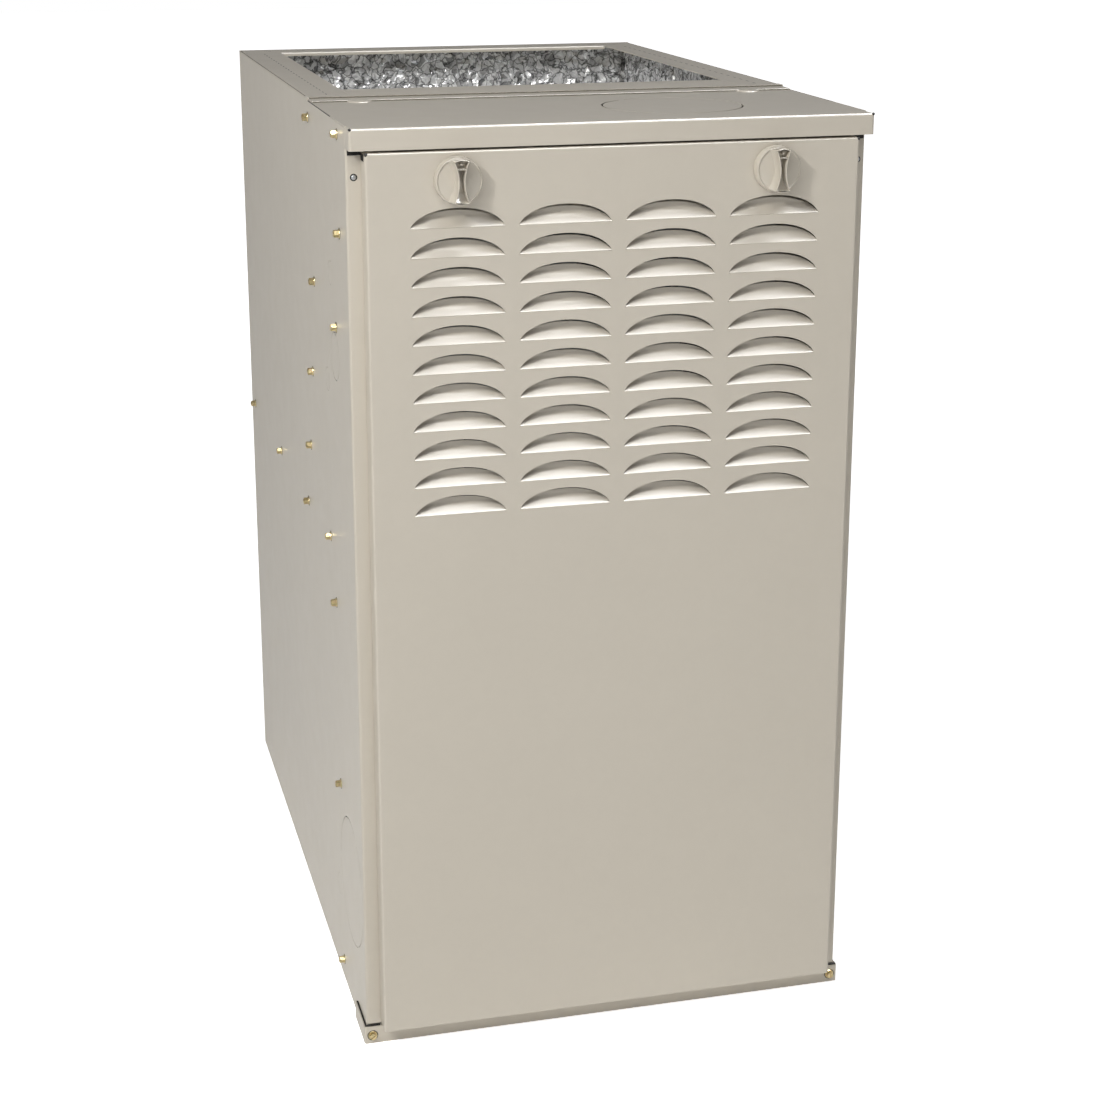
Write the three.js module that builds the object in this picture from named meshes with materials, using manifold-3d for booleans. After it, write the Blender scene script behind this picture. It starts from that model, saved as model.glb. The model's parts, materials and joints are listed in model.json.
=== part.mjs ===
// An upflow forced air gas furnace: a folded steel casing with a lift-off louvred door, and inside it
// burners, clamshell heat exchanger, draft inducer, controls and a centrifugal blower.
// Millimetres, +Z up, the door faces -Y. The origin is on the floor, under the middle of the casing.
import * as THREE from 'three';
import { mergeVertices } from 'three/addons/utils/BufferGeometryUtils.js';
import Module from 'manifold-3d';

const wasm = await Module();
wasm.setup();

// ---------------------------------------------------------------- driving dimensions

const sheet = 0.9; // casing and door steel
const seat = 0.3; // gap between two pieces that rest on each other
const running = 0.5; // gap round a piece that turns or slides

const casing = { width: 460, depth: 729, height: 846, frontFlange: 28, rearFlange: 20 };
const duct = { side: 41, rear: 45, front: 61.5, lip: 4, nose: 12, apron: 22 };
const cap = { proud: 20, drop: 2.6, step: 1.3, lip: 18.5, hem: 10, wrap: 75, ledge: 22, bend: 3 };
const vent = {
  knockout: 63.5, inset: 151, fromFront: 82.5, pipe: 38, wall: 1.2, flange: 8, collar: 14, gap: 1, sides: 16,
};
const emboss = { radius: 11.5, rise: 2.2, inset: 44 };
const slit = { width: 0.8, tab: 6, tabs: 3 };
const gasKnockout = { radius: 22, fromFront: 81, belowTop: 214 };
const returnKnockout = { radius: 61, fromFront: 66, height: 131 };
const rail = { proud: 2.5, height: 17, reveal: 1.8, tab: 47.5, ledge: 14, setBack: 3 };
const railScrew = { inset: 7.5, height: 8, washer: 4.4, head: 3.5, rise: 3.6, shank: 2, slot: 1 };
const base = { flange: 20, frontFlange: 11 };
const header = { height: 76, topReturn: 24, bottomReturn: 15 };

const door = { reveal: 13, gap: 1.9, lip: 12 };
const louvre = { columns: 4, rows: 11, width: 80.7, height: 17, bridge: 12.6, pitch: 24.9, fromTop: 64.5 };
const pocket = { depth: 6.8, rampDepth: 4.8, ramp: 3.8, kerf: 0.25, facets: 5 };
const stiffener = { height: 44, gap: 0.8, foot: 14 };
const insulation = { thickness: 9, margin: 8 };
const knob = {
  radius: 22, rim: 4.6, edge: 0.8, slope: 4.5, dish: 2.4, grip: 20, end: 8.2, waist: 3.4, wall: 1.8, rib: 10.5, fromTop: 24,
};
const spindle = { radius: 4 };
const tongue = { width: 13, reach: 22, tail: 8, thickness: 2, behind: 1.2 };

const shelf = { share: 0.526, flange: 30 }; // how far up the casing it lies
const vestibule = { depth: 205 };
const liner = { thickness: 12 };
const cell = {
  count: 3, spacing: 0.2565, passes: 4, headroom: 116, first: 60, length: 400, width: 44, tube: 25, plate: 1.2, rim: 12,
  taper: 3, socket: 6,
};
const collector = { height: 135, margin: 47, depth: 44, above: 60, wall: 1.2, window: 30 };
const inducer = { offset: 45, below: 30, wheel: 54, eye: 30, cavity: 60, spread: 14, depth: 60, wall: 2.5, gap: 3 };
const inducerMotor = { radius: 42, length: 70 };
const inducerWheel = { blades: 8, plate: 2, width: 38, hub: 10, shaft: 4 };

const burner = { length: 150, bell: 21, throat: 12, mouth: 24, bore: 9, gap: 8, entry: 34, neck: 50, flare: 26, lip: 3 };
const rack = { overhang: 34, drop: 30, wall: 1.5, clear: 6 };
const ear = { half: 6, near: 4, far: 14 };
const manifold = { radius: 10.5, spud: 5, spudLength: 14, overhang: 26, gap: 5 };
const valve = { width: 92, height: 84, inlet: 15, outlet: 15, margin: 22, boss: 14, head: 17, regulator: 9 };
const valveWall = 3;
const lever = { length: 14, width: 9, hub: 5, stand: 3, right: 20, above: 4 };
const ignitor = { base: 10, depth: 12, rise: 10, clip: 4, height: 26, behind: 40 };
const sensor = { left: 22, right: 4, depth: 8, radius: 4, height: 26, inset: 10, behind: 30 };
const rollout = { radius: 13, body: 9, flange: 17, button: 3, travel: 2, well: 5, above: 24 };
const limit = { below: 120, right: 10, radius: 11, body: 12, flange: 19 };
const pressure = { inset: 80, share: 0.378, radius: 33, depth: 30, stand: 46, plate: 20, post: 12, step: 4 };
const nipple = { radius: 3, length: 12 };
const hose = { radius: 5, sides: 7, steps: 9 };
const junction = { width: 55, depth: 100, height: 66, belowTop: 162, fromFront: 42, lid: 2, rim: 4 };

const board = { width: 165, height: 118, thickness: 1.8, inset: 40, below: 153, fromFront: 40, standoff: 6 };
const relays = [
  { left: 12, bottom: 74, width: 28, height: 32, depth: 16 },
  { left: 50, bottom: 74, width: 28, height: 32, depth: 16 },
  { left: 88, bottom: 74, width: 28, height: 32, depth: 16 },
];
const terminals = { left: 10, bottom: 8, width: 96, height: 13, depth: 11 };
const fuse = { left: 124, bottom: 82, width: 28, height: 22, depth: 12 };
const chip = { left: 58, bottom: 36, width: 24, height: 24, depth: 4 };
const plug = { left: 118, bottom: 10, width: 34, height: 12, depth: 9 };
const boardCan = { left: 138, bottom: 50, radius: 7, depth: 22 };
const foot = { radius: 3, inset: 8, low: 30, high: 112, sink: 0.4 };
const bracket = { margin: 8, flange: 18, wall: 1.5 };
const transformer = { inset: 168, width: 66, height: 56, depth: 40, below: 93, coil: 14, frame: 10 };
const safety = { inset: 80, width: 30, height: 42, depth: 24, plunger: 4, well: 15, drop: 3 };

const blower = { fromFront: 390, share: 0.4944, wall: 1.2, clearance: 12, spread: 63, cutoff: 75, width: 259, steps: 18 };
const wheel = { radius: 127, inner: 109, width: 203, blades: 26, ring: 18.5, rim: 3, web: 1.8, hub: 16 };
const shaft = { radius: 6.35, socket: 18 };
const blowerMotor = { radius: 69, length: 118, overhang: 34, bell: 12 };
const mount = { arms: 3, width: 18, thickness: 3, band: 24, pad: 16 };
const capacitor = { radius: 22, length: 70, strap: 20, strapReach: 30, saddle: 4, lift: 2 };

// ---------------------------------------------------------------- planes that follow from them

const half = casing.width / 2;
const inner = half - sheet;
const front = -casing.depth / 2;
const back = casing.depth / 2;
const top = casing.height;
const wallBack = back - sheet - seat; // rear edge of the side walls
const rearInner = wallBack - sheet - seat; // clear depth in front of the side walls' rear flanges
const capTop = top - cap.drop;
const underCap = capTop - sheet - seat;
const ridge = front + vestibule.depth; // front of the duct flange, over the cell panel
const capBack = ridge - seat;
const wrapEnd = front + cap.wrap;
const doorFront = front - cap.proud;
const doorBack = front - seat;
const doorHalf = half - door.reveal;
const doorTop = capTop - cap.lip - door.gap;
const doorBottom = rail.height + rail.reveal;
const louvrePitch = louvre.width + louvre.bridge;
const knobX = (louvrePitch * (louvre.columns - 1)) / 2;
const knobZ = doorTop - knob.fromTop;
const headerFace = front + sheet + seat;
const panelFace = ridge + sheet + seat; // front of the cell panel
const shelfFace = headerFace; // both rest behind the sides' front flanges
const shelfZ = casing.height * shelf.share;
const shelfTop = shelfZ + sheet;
const burnerZ = shelfZ + cell.first;
const outletZ = top - cell.headroom;
const cellRise = (outletZ - burnerZ) / (cell.passes - 1);
const cellPitch = casing.width * cell.spacing;
const ventX = half - vent.inset;
const inducerX = ventX - inducer.offset;
const inducerZ = outletZ - inducer.below;
const valveX = -cellPitch;
const gasZ = top - gasKnockout.belowTop;
const pressureX = half - pressure.inset;
const pressureZ = burnerZ + (outletZ - burnerZ) * pressure.share;
const boardLeft = board.inset - half;
const boardBottom = shelfZ - board.below;
const transformerX = half - transformer.inset;
const safetyX = half - safety.inset;
const collectorFace = panelFace - seat - collector.depth;
const wheelZ = shelfZ * blower.share;
const voluteStart = (80 * Math.PI) / 180;
const blowerY = front + blower.fromFront;
const blowerTop = shelfZ - seat - wheelZ;

// ---------------------------------------------------------------- finishes

function finish(color, roughness, metalness) {
  return new THREE.MeshStandardMaterial({ color, roughness, metalness, flatShading: true });
}

const beige = finish(0xbfb6a6, 0.45, 0.1);
const knobPlastic = finish(0xc6bda8, 0.3, 0.0);
const zinc = finish(0xc9a85a, 0.35, 0.9);
const galvanised = finish(0xa9adb0, 0.4, 0.8);
const aluminised = finish(0x9a9c9c, 0.5, 0.8);
const foil = finish(0xd8dadb, 0.25, 0.9);
const castGrey = finish(0x74777a, 0.55, 0.5);
const black = finish(0x26272a, 0.5, 0.1);
const boardGreen = finish(0x2f6b45, 0.5, 0.0);
const ceramic = finish(0xd9d4c6, 0.7, 0.0);
const red = finish(0xa32a24, 0.4, 0.0);

// ---------------------------------------------------------------- solid helpers

// Triangles with merged corners, turned so that they face out.
function weld(geometry, snap = 1e-3) {
  const bare = new THREE.BufferGeometry();
  const flat = geometry.index ? geometry.toNonIndexed() : geometry;
  bare.setAttribute('position', flat.getAttribute('position').clone());
  const merged = mergeVertices(bare, snap);
  const at = merged.getAttribute('position');
  const corners = [];
  let volume = 0;
  const [a, b, c] = [new THREE.Vector3(), new THREE.Vector3(), new THREE.Vector3()];
  for (let i = 0; i < merged.index.count; i += 3) {
    const [p, q, r] = [0, 1, 2].map((k) => merged.index.getX(i + k));
    if (p === q || q === r || r === p) continue;
    volume += a.fromBufferAttribute(at, p).dot(b.fromBufferAttribute(at, q).cross(c.fromBufferAttribute(at, r)));
    corners.push([p, q, r]);
  }
  const facing = volume < 0 ? corners.map(([p, q, r]) => [p, r, q]) : corners;
  merged.setIndex(facing.flat());
  return merged;
}

function toSolid(geometry) {
  const welded = weld(geometry);
  const vertProperties = new Float32Array(welded.getAttribute('position').array);
  const triVerts = new Uint32Array(welded.index.array);
  return new wasm.Manifold(new wasm.Mesh({ numProp: 3, vertProperties, triVerts }));
}

function toGeometry(solid) {
  const mesh = solid.getMesh();
  const geometry = new THREE.BufferGeometry();
  geometry.setAttribute('position', new THREE.BufferAttribute(new Float32Array(mesh.vertProperties), 3));
  geometry.setIndex(Array.from(mesh.triVerts));
  return weld(geometry, 1e-2);
}

function join(...geometries) {
  return toGeometry(geometries.map(toSolid).reduce((whole, next) => whole.add(next)));
}

function cut(geometry, ...tools) {
  return toGeometry(tools.map(toSolid).reduce((rest, tool) => rest.subtract(tool), toSolid(geometry)));
}

function common(geometry, other) {
  return toGeometry(toSolid(geometry).intersect(toSolid(other)));
}

// A box between two values on each axis.
function block([x0, x1], [y0, y1], [z0, z1]) {
  const box = new THREE.BoxGeometry(x1 - x0, y1 - y0, z1 - z0);
  return box.translate((x0 + x1) / 2, (y0 + y1) / 2, (z0 + z1) / 2);
}

// The range between two distances from the middle, on the left (-1) or right (1) side.
function across(side, near, far) {
  return side < 0 ? [-far, -near] : [near, far];
}

const toAxis = {
  x: new THREE.Matrix4().set(0, 0, 1, 0, 1, 0, 0, 0, 0, 1, 0, 0, 0, 0, 0, 1),
  y: new THREE.Matrix4().set(1, 0, 0, 0, 0, 0, 1, 0, 0, 1, 0, 0, 0, 0, 0, 1),
  z: new THREE.Matrix4(),
};

// An outline extruded along an axis. Its points are (y, z) for x, (x, z) for y and (x, y) for z.
function prism(outline, axis, from, to, holes = []) {
  const shape = new THREE.Shape(outline.map(([a, b]) => new THREE.Vector2(a, b)));
  shape.holes = holes.map((hole) => new THREE.Path(hole.map(([a, b]) => new THREE.Vector2(a, b))));
  const solid = new THREE.ExtrudeGeometry(shape, { depth: to - from, bevelEnabled: false });
  return weld(solid.translate(0, 0, from).applyMatrix4(toAxis[axis]));
}

function ring(radius, sides, centre = [0, 0]) {
  const turn = (2 * Math.PI) / sides;
  return Array.from({ length: sides }, (_, i) => [
    centre[0] + radius * Math.cos(i * turn),
    centre[1] + radius * Math.sin(i * turn),
  ]);
}

function arc(radius, from, to, steps) {
  return Array.from({ length: steps + 1 }, (_, i) => {
    const angle = from + ((to - from) * i) / steps;
    return [radius * Math.cos(angle), radius * Math.sin(angle)];
  });
}

// A round bar, or a tube when bore is given, along an axis between two values.
function rod(axis, radius, from, to, centre = [0, 0], sides = 16, bore = 0) {
  const holes = bore > 0 ? [ring(bore, sides, centre)] : [];
  return prism(ring(radius, sides, centre), axis, from, to, holes);
}

// A profile of [radius, along] points turned about an axis through the origin.
function turned(profile, axis, sides = 24) {
  const points = profile.map(([radius, along]) => new THREE.Vector2(radius, along));
  if (profile[0][0] > 0) points.push(points[0].clone());
  const solid = new THREE.LatheGeometry(points, sides);
  if (axis === 'x') solid.rotateZ(-Math.PI / 2);
  if (axis === 'z') solid.rotateX(Math.PI / 2);
  return weld(solid);
}

// A round hose, pipe or elbow along points, hollow when bore is given.
function pipe(points, radius, sides, steps, bore = 0) {
  const outline = (r) => ring(r, sides).map(([a, b]) => new THREE.Vector2(a, b));
  const shape = new THREE.Shape(outline(radius));
  if (bore > 0) shape.holes = [new THREE.Path(outline(bore))];
  const extrudePath = new THREE.CatmullRomCurve3(points.map((p) => new THREE.Vector3(...p)));
  return weld(new THREE.ExtrudeGeometry(shape, { steps, extrudePath, bevelEnabled: false }));
}

// A solid through rings of the same number of points, closed by a flat face at each end.
function loft(rings) {
  const count = rings[0].length;
  const last = (rings.length - 1) * count;
  const corners = [];
  for (let level = 0; level < last; level += count)
    for (let i = 0; i < count; i += 1) {
      const [a, b] = [level + i, level + ((i + 1) % count)];
      corners.push(a, b, b + count, a, b + count, a + count);
    }
  for (let i = 1; i + 1 < count; i += 1) corners.push(0, i + 1, i, last, last + i, last + i + 1);
  const solid = new THREE.BufferGeometry();
  solid.setAttribute('position', new THREE.Float32BufferAttribute(rings.flat(2), 3));
  solid.setIndex(corners);
  return weld(solid);
}

// Adds a named piece to its assembly.
function add(group, name, geometry, material, place = [0, 0, 0]) {
  const piece = new THREE.Mesh(geometry, material);
  piece.name = name;
  piece.position.set(...place);
  group.add(piece);
  return piece;
}

function assembly(parent, place = [0, 0, 0]) {
  const group = new THREE.Group();
  group.position.set(...place);
  parent.add(group);
  return group;
}

// The curved slits round a knockout, which leave it hanging on its tabs. Local: in the XY plane.
function knockoutSlits(radius, depth, sides) {
  const gap = slit.tab / radius;
  const sweep = (2 * Math.PI) / slit.tabs;
  const steps = Math.round(sides / slit.tabs);
  return Array.from({ length: slit.tabs }, (_, i) => {
    const from = i * sweep + gap / 2;
    const to = (i + 1) * sweep - gap / 2;
    const outline = [...arc(radius, from, to, steps), ...arc(radius - slit.width, to, from, steps)];
    return prism(outline, 'z', -depth, depth);
  });
}

// ---------------------------------------------------------------- casing

function sideKnockouts(side) {
  const place = (at, z, sides) =>
    knockoutSlits(at.radius, casing.rearFlange, sides).map((tool) =>
      tool.rotateY(Math.PI / 2).translate(side * half, front + at.fromFront, z),
    );
  return [...place(returnKnockout, returnKnockout.height, 15), ...place(gasKnockout, gasZ, 9)];
}

// Wall with its front flange, a set-back tab behind the rail, a rear flange and the fold-up duct flange.
function sidePanel(side) {
  const outline = [
    [front, 0], [wallBack, 0], [wallBack, top], [ridge, top],
    [ridge, capTop], [wrapEnd, capTop], [wrapEnd, underCap], [front, underCap],
  ];
  const wall = prism(outline, 'x', ...across(side, inner, half));
  const flangeX = across(side, half - casing.frontFlange, half);
  const flange = block(flangeX, [front, front + sheet], [doorBottom, underCap]);
  const tabFace = front + rail.setBack;
  const tabTop = rail.height - sheet - seat;
  const tab = cut(
    block(flangeX, [tabFace, tabFace + sheet], [sheet + seat, tabTop]),
    railScrewHole(side, tabFace - 1, tabFace + sheet + 1),
  );
  const rearX = across(side, half - casing.rearFlange, half);
  const rear = block(rearX, [wallBack - sheet, wallBack], [0, top - sheet - seat]);
  const edge = half - duct.side;
  const ductOutline = [
    [half, ridge + duct.nose + seat],
    [half, wallBack],
    [edge, back - duct.rear - 2 * seat],
    [edge, ridge + duct.nose + seat],
  ].map(([x, y]) => [side * x, y]);
  const ductFlange = prism(ductOutline, 'z', top - sheet, top);
  return cut(join(cut(wall, ...sideKnockouts(side)), flange, tab, rear, ductFlange));
}

function backPanel() {
  const plate = block([-half, half], [back - sheet, back], [0, top]);
  const edge = half - duct.side;
  const outline = [[-half, back], [half, back], [edge, back - duct.rear], [-edge, back - duct.rear]];
  const flange = prism(outline, 'z', top - sheet, top);
  const lipY = back - duct.rear;
  const lip = block([-edge, edge], [lipY, lipY + sheet], [top - duct.lip, top]);
  return join(plate, flange, lip);
}

// The strip in front of the supply opening, with an apron down to the cell panel.
function frontDuctFlange() {
  const edge = half - duct.side - seat;
  const wide = inner - seat;
  const strip = block([-edge, edge], [ridge, ridge + duct.front], [top - sheet, top]);
  const nose = block([-wide, wide], [ridge, ridge + duct.nose], [top - sheet, top]);
  const apron = block([-wide, wide], [ridge, ridge + sheet], [top - duct.apron, top]);
  return join(strip, nose, apron);
}

// Rounded front edge of the cap, as [y, z] from its top face down to its lip.
function capBend(radius) {
  return arc(radius, Math.PI / 2, Math.PI, 4).map(([y, z]) => [doorFront + cap.bend + y, capTop - cap.bend + z]);
}

function topCap() {
  const wide = inner - seat;
  const lipFoot = capTop - cap.lip;
  const hemY = doorFront + cap.hem;
  const outside = [[doorBack, capTop], ...capBend(cap.bend), [doorFront, lipFoot], [doorBack, lipFoot]];
  const hollow = [
    [doorBack + 1, capTop - sheet], ...capBend(cap.bend - sheet), [doorFront + sheet, lipFoot + sheet],
    [hemY, lipFoot + sheet], [hemY, lipFoot - 1], [doorBack + 1, lipFoot - 1],
  ];
  const nose = cut(prism(outside, 'x', -half, half), prism(hollow, 'x', sheet - half, half - sheet));
  const right = [[half, doorBack - 1], [half, wrapEnd], [wide, wrapEnd], [wide, capBack]];
  const left = right.map(([x, y]) => [-x, y]).reverse();
  const plate = prism([...right, ...left], 'z', capTop - sheet, capTop);
  const ledge = block([-wide, wide], [capBack - cap.ledge, capBack], [capTop - sheet, top - cap.step]);
  const dome = new THREE.SphereGeometry(emboss.radius, 12, 4).scale(1, 1, emboss.rise / emboss.radius);
  const domes = [-1, 1].map((side) =>
    common(
      dome.clone().translate(side * (half - emboss.inset), capBack - cap.ledge, capTop),
      block([-half, half], [front, capBack - cap.ledge / 2], [capTop - sheet / 2, top]),
    ),
  );
  const slits = knockoutSlits(vent.knockout, cap.lip, 18).map((tool) =>
    tool.translate(ventX, front + vent.fromFront, capTop),
  );
  return cut(join(nose, plate, ledge, ...domes), ...slits);
}

// Channel behind the top of the door, with a slot for each latch tongue.
function latchHeader() {
  const wide = inner - seat;
  const foot = underCap - header.height;
  const face = block([-wide, wide], [headerFace, headerFace + sheet], [foot, underCap]);
  const upper = block([-wide, wide], [headerFace, headerFace + header.topReturn], [underCap - sheet, underCap]);
  const lower = block([-wide, wide], [headerFace, headerFace + header.bottomReturn], [foot, foot + sheet]);
  const slotHalf = tongue.width / 2 + 3 * running;
  const slots = [-1, 1].map((side) =>
    block(
      [side * knobX - slotHalf, side * knobX + slotHalf],
      [headerFace - 1, headerFace + sheet + 1],
      [knobZ - tongue.tail - 3 * running, knobZ + tongue.reach + 3 * running],
    ),
  );
  return cut(join(face, upper, lower), ...slots);
}

function railScrewHole(side, from, to) {
  const centre = [side * (half + rail.proud - railScrew.inset), railScrew.height];
  return rod('y', railScrew.shank + running, from, to, centre, 10);
}

// Front rail that wraps both lower corners of the casing.
function bottomRail() {
  const wide = half + rail.proud;
  const faceY = [front - rail.proud, front - rail.proud + sheet];
  const face = block([-wide, wide], faceY, [0, rail.height]);
  const tabs = [-1, 1].map((side) =>
    block(across(side, wide - sheet, wide), [front - rail.proud, front + rail.tab], [0, rail.height]),
  );
  const ledgeHalf = inner - sheet - 2 * seat;
  const ledge = block(
    [-ledgeHalf, ledgeHalf],
    [front - rail.proud, front + rail.ledge],
    [rail.height - sheet, rail.height],
  );
  const holes = [-1, 1].map((side) => railScrewHole(side, faceY[0] - 1, faceY[1] + 1));
  return cut(join(face, ...tabs, ledge), ...holes);
}

// Slotted hex washer head screw. Local: the head stands along -Y from its seat.
function slottedScrew() {
  const washer = rod('y', railScrew.washer, -1, 0, [0, 0], 12);
  const head = rod('y', railScrew.head, -railScrew.rise, 0, [0, 0], 6);
  const tip = rail.proud + rail.setBack + sheet + seat;
  const shank = rod('y', railScrew.shank, -sheet, tip, [0, 0], 8);
  const groove = block(
    [-railScrew.head, railScrew.head],
    [-railScrew.rise - 1, -railScrew.rise + railScrew.slot],
    [-railScrew.slot / 2, railScrew.slot / 2],
  );
  return cut(join(washer, head, shank), groove);
}

// Tray that closes the casing's bottom.
function bottomPanel() {
  const wide = inner - seat;
  const near = front + rail.setBack + sheet + seat;
  const tray = block([-wide, wide], [near, rearInner], [0, base.flange]);
  const well = block([sheet - wide, wide - sheet], [near + sheet, rearInner - sheet], [sheet, base.flange + 1]);
  const sill = block(
    [sheet - wide, wide - sheet],
    [near - 1, near + 2 * sheet],
    [base.frontFlange, base.flange + 1],
  );
  return cut(tray, well, sill);
}

function buildCasing(root) {
  add(root, 'left_side_panel', sidePanel(-1), beige);
  add(root, 'right_side_panel', sidePanel(1), beige);
  add(root, 'back_panel', backPanel(), beige);
  add(root, 'front_duct_flange', frontDuctFlange(), beige);
  add(root, 'top_cap', topCap(), beige);
  add(root, 'latch_header', latchHeader(), beige);
  add(root, 'bottom_panel', bottomPanel(), galvanised);
  add(root, 'bottom_rail', bottomRail(), beige);
  const screwX = half + rail.proud - railScrew.inset;
  const screwY = front - rail.proud - seat;
  add(root, 'rail_screw_left', slottedScrew(), zinc, [-screwX, screwY, railScrew.height]);
  add(root, 'rail_screw_right', slottedScrew(), zinc, [screwX, screwY, railScrew.height]);
}

// ---------------------------------------------------------------- door and latches

// Half an ellipse over a straight foot: the outline of a louvre, in (x, z).
function louvreOutline(shrink, foot) {
  const halfWidth = louvre.width / 2 - shrink;
  const height = louvre.height - shrink;
  const rim = arc(1, 0, Math.PI, pocket.facets).map(([a, b]) => [a * halfWidth, b * height]);
  rim[0] = [halfWidth, foot];
  rim[pocket.facets] = [-halfWidth, foot];
  return rim;
}

// The pressed-in blade of a louvre: bent in along its straight foot, cut free along its arch.
function louvreBlade() {
  const root = sheet / 2;
  const crest = louvre.height + 1;
  const profile = [
    [0, -root], [0, 0], [pocket.rampDepth, pocket.ramp], [pocket.depth, crest],
    [pocket.depth + sheet, crest], [pocket.rampDepth + sheet, pocket.ramp - sheet], [sheet, -root],
  ];
  const strip = prism(profile, 'x', -louvre.width / 2, louvre.width / 2);
  return common(strip, prism(louvreOutline(pocket.kerf, -root), 'y', -1, pocket.depth + 2 * sheet));
}

function louvrePlaces() {
  const places = [];
  for (let column = 0; column < louvre.columns; column += 1)
    for (let row = 0; row < louvre.rows; row += 1)
      places.push([(column - (louvre.columns - 1) / 2) * louvrePitch, doorTop - louvre.fromTop - row * louvre.pitch]);
  return places;
}

// Local to the door: Y = 0 is its outer face, and it is a tray open to the casing.
function doorPanel() {
  const depth = doorBack - doorFront;
  const wide = [-doorHalf, doorHalf];
  const tall = [doorBottom, doorTop];
  const blade = louvreBlade();
  const hole = prism(louvreOutline(0, 0), 'y', -1, 2 * sheet);
  const places = louvrePlaces();
  const spindleHoles = [-1, 1].map((side) =>
    rod('y', spindle.radius + running, -1, 2 * sheet, [side * knobX, knobZ], 12),
  );
  const holes = places.map(([x, z]) => hole.clone().translate(x, 0, z));
  const face = cut(block(wide, [0, sheet], tall), ...holes, ...spindleHoles);
  const blades = places.map(([x, z]) => blade.clone().translate(x, 0, z));
  const sides = [-1, 1].flatMap((side) => [
    block(across(side, doorHalf - sheet, doorHalf), [0, depth], tall),
    block(across(side, doorHalf - door.lip, doorHalf), [depth - sheet, depth], tall),
  ]);
  const ends = [
    block(wide, [0, depth], [doorTop - sheet, doorTop]),
    block(wide, [0, depth], [doorBottom, doorBottom + sheet]),
    block(wide, [depth - sheet, depth], [doorBottom, doorBottom + door.lip]),
  ];
  return join(face, ...blades, ...sides, ...ends);
}

// Hat channel across the inside of the door. It closes on the shelf and presses the safety switch.
function doorStiffener() {
  const middle = shelfZ - stiffener.height / 2;
  const wide = [-(doorHalf - door.lip - seat), doorHalf - door.lip - seat];
  const near = sheet + seat;
  const z0 = middle - stiffener.height / 2;
  const z1 = middle + stiffener.height / 2;
  const far = front - stiffener.gap - doorFront;
  const outline = [
    [near, z0 - stiffener.foot], [near + sheet, z0 - stiffener.foot], [near + sheet, z0 - sheet], [far, z0 - sheet],
    [far, z1 + sheet], [near + sheet, z1 + sheet], [near + sheet, z1 + stiffener.foot], [near, z1 + stiffener.foot],
    [near, z1], [far - sheet, z1], [far - sheet, z0], [near, z0],
  ];
  return prism(outline, 'x', ...wide);
}

function doorInsulation() {
  const lowest = doorBottom + door.lip + insulation.margin;
  const highest = shelfZ - stiffener.height - stiffener.foot - insulation.margin;
  const wide = doorHalf - door.lip - insulation.margin;
  const near = sheet + seat;
  return block([-wide, wide], [near, near + insulation.thickness], [lowest, highest]);
}

// Half width of the grip at a height above the knob's middle.
function gripHalfWidth(y) {
  const share = y / knob.radius;
  return knob.waist + (knob.end - knob.waist) * share * share * 1.25;
}

// An hourglass outline between two heights, in steps, narrowed by a wall.
function hourglass(low, high, steps, wall) {
  const heights = Array.from({ length: steps + 1 }, (_, i) => low + ((high - low) * i) / steps);
  const right = heights.map((y) => [gripHalfWidth(y) - wall, y]);
  const left = heights.map((y) => [wall - gripHalfWidth(y), y]).reverse();
  return [...right, ...left];
}

// Dished disc with a hollow hourglass grip. Local: X right, Y up, Z out of the door.
function latchKnob() {
  const dishProfile = [
    [0, 0], [knob.radius, 0], [knob.radius, knob.rim - knob.edge], [knob.radius - knob.edge, knob.rim],
    [knob.radius - knob.slope, knob.dish], [0, knob.dish],
  ];
  const dish = turned(dishProfile, 'z', 20);
  const reach = knob.radius - 2;
  const floor = knob.dish + 1;
  const grip = prism(hourglass(-reach, reach, 6, 0), 'z', 1, knob.grip);
  const upper = prism(hourglass(knob.rib + knob.wall, reach - knob.wall, 2, knob.wall), 'z', floor, knob.grip + 1);
  const lower = prism(hourglass(-reach + knob.wall, knob.rib, 4, knob.wall), 'z', floor, knob.grip + 1);
  const depth = tonguePlane() + tongue.thickness + 1 - doorFront;
  const stem = rod('z', spindle.radius, -depth, 1, [0, 0], 12);
  return cut(join(dish, grip, stem), upper, lower).rotateX(Math.PI / 2);
}

function tonguePlane() {
  return headerFace + sheet + tongue.behind;
}

// Steel cam on the knob's stem, behind the header. Local to the knob's axis, pointing up when unlocked.
function latchTongue() {
  const edge = tongue.width / 2;
  const outline = [
    [-edge, -tongue.tail], [edge, -tongue.tail], [edge, tongue.reach - edge / 2],
    [edge / 2, tongue.reach], [-edge / 2, tongue.reach], [-edge, tongue.reach - edge / 2],
  ];
  const hole = ring(spindle.radius + seat, 12);
  const from = tonguePlane() - doorFront;
  return prism(outline, 'y', from, from + tongue.thickness, [hole]);
}

function buildDoor(root) {
  const doorGroup = assembly(root, [0, doorFront, 0]);
  add(doorGroup, 'door_panel', doorPanel(), beige);
  add(doorGroup, 'door_stiffener', doorStiffener(), galvanised);
  add(doorGroup, 'door_insulation', doorInsulation(), foil);
  for (const [side, label] of [[-1, 'left'], [1, 'right']]) {
    const latch = assembly(doorGroup, [side * knobX, 0, knobZ]);
    add(latch, `${label}_latch_knob`, latchKnob(), knobPlastic, [0, -seat, 0]);
    add(latch, `${label}_latch_tongue`, latchTongue(), galvanised);
  }
}

// ---------------------------------------------------------------- compartments and heat exchanger

function cellPlaces() {
  return Array.from({ length: cell.count }, (_, i) => (i - (cell.count - 1) / 2) * cellPitch);
}

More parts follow.
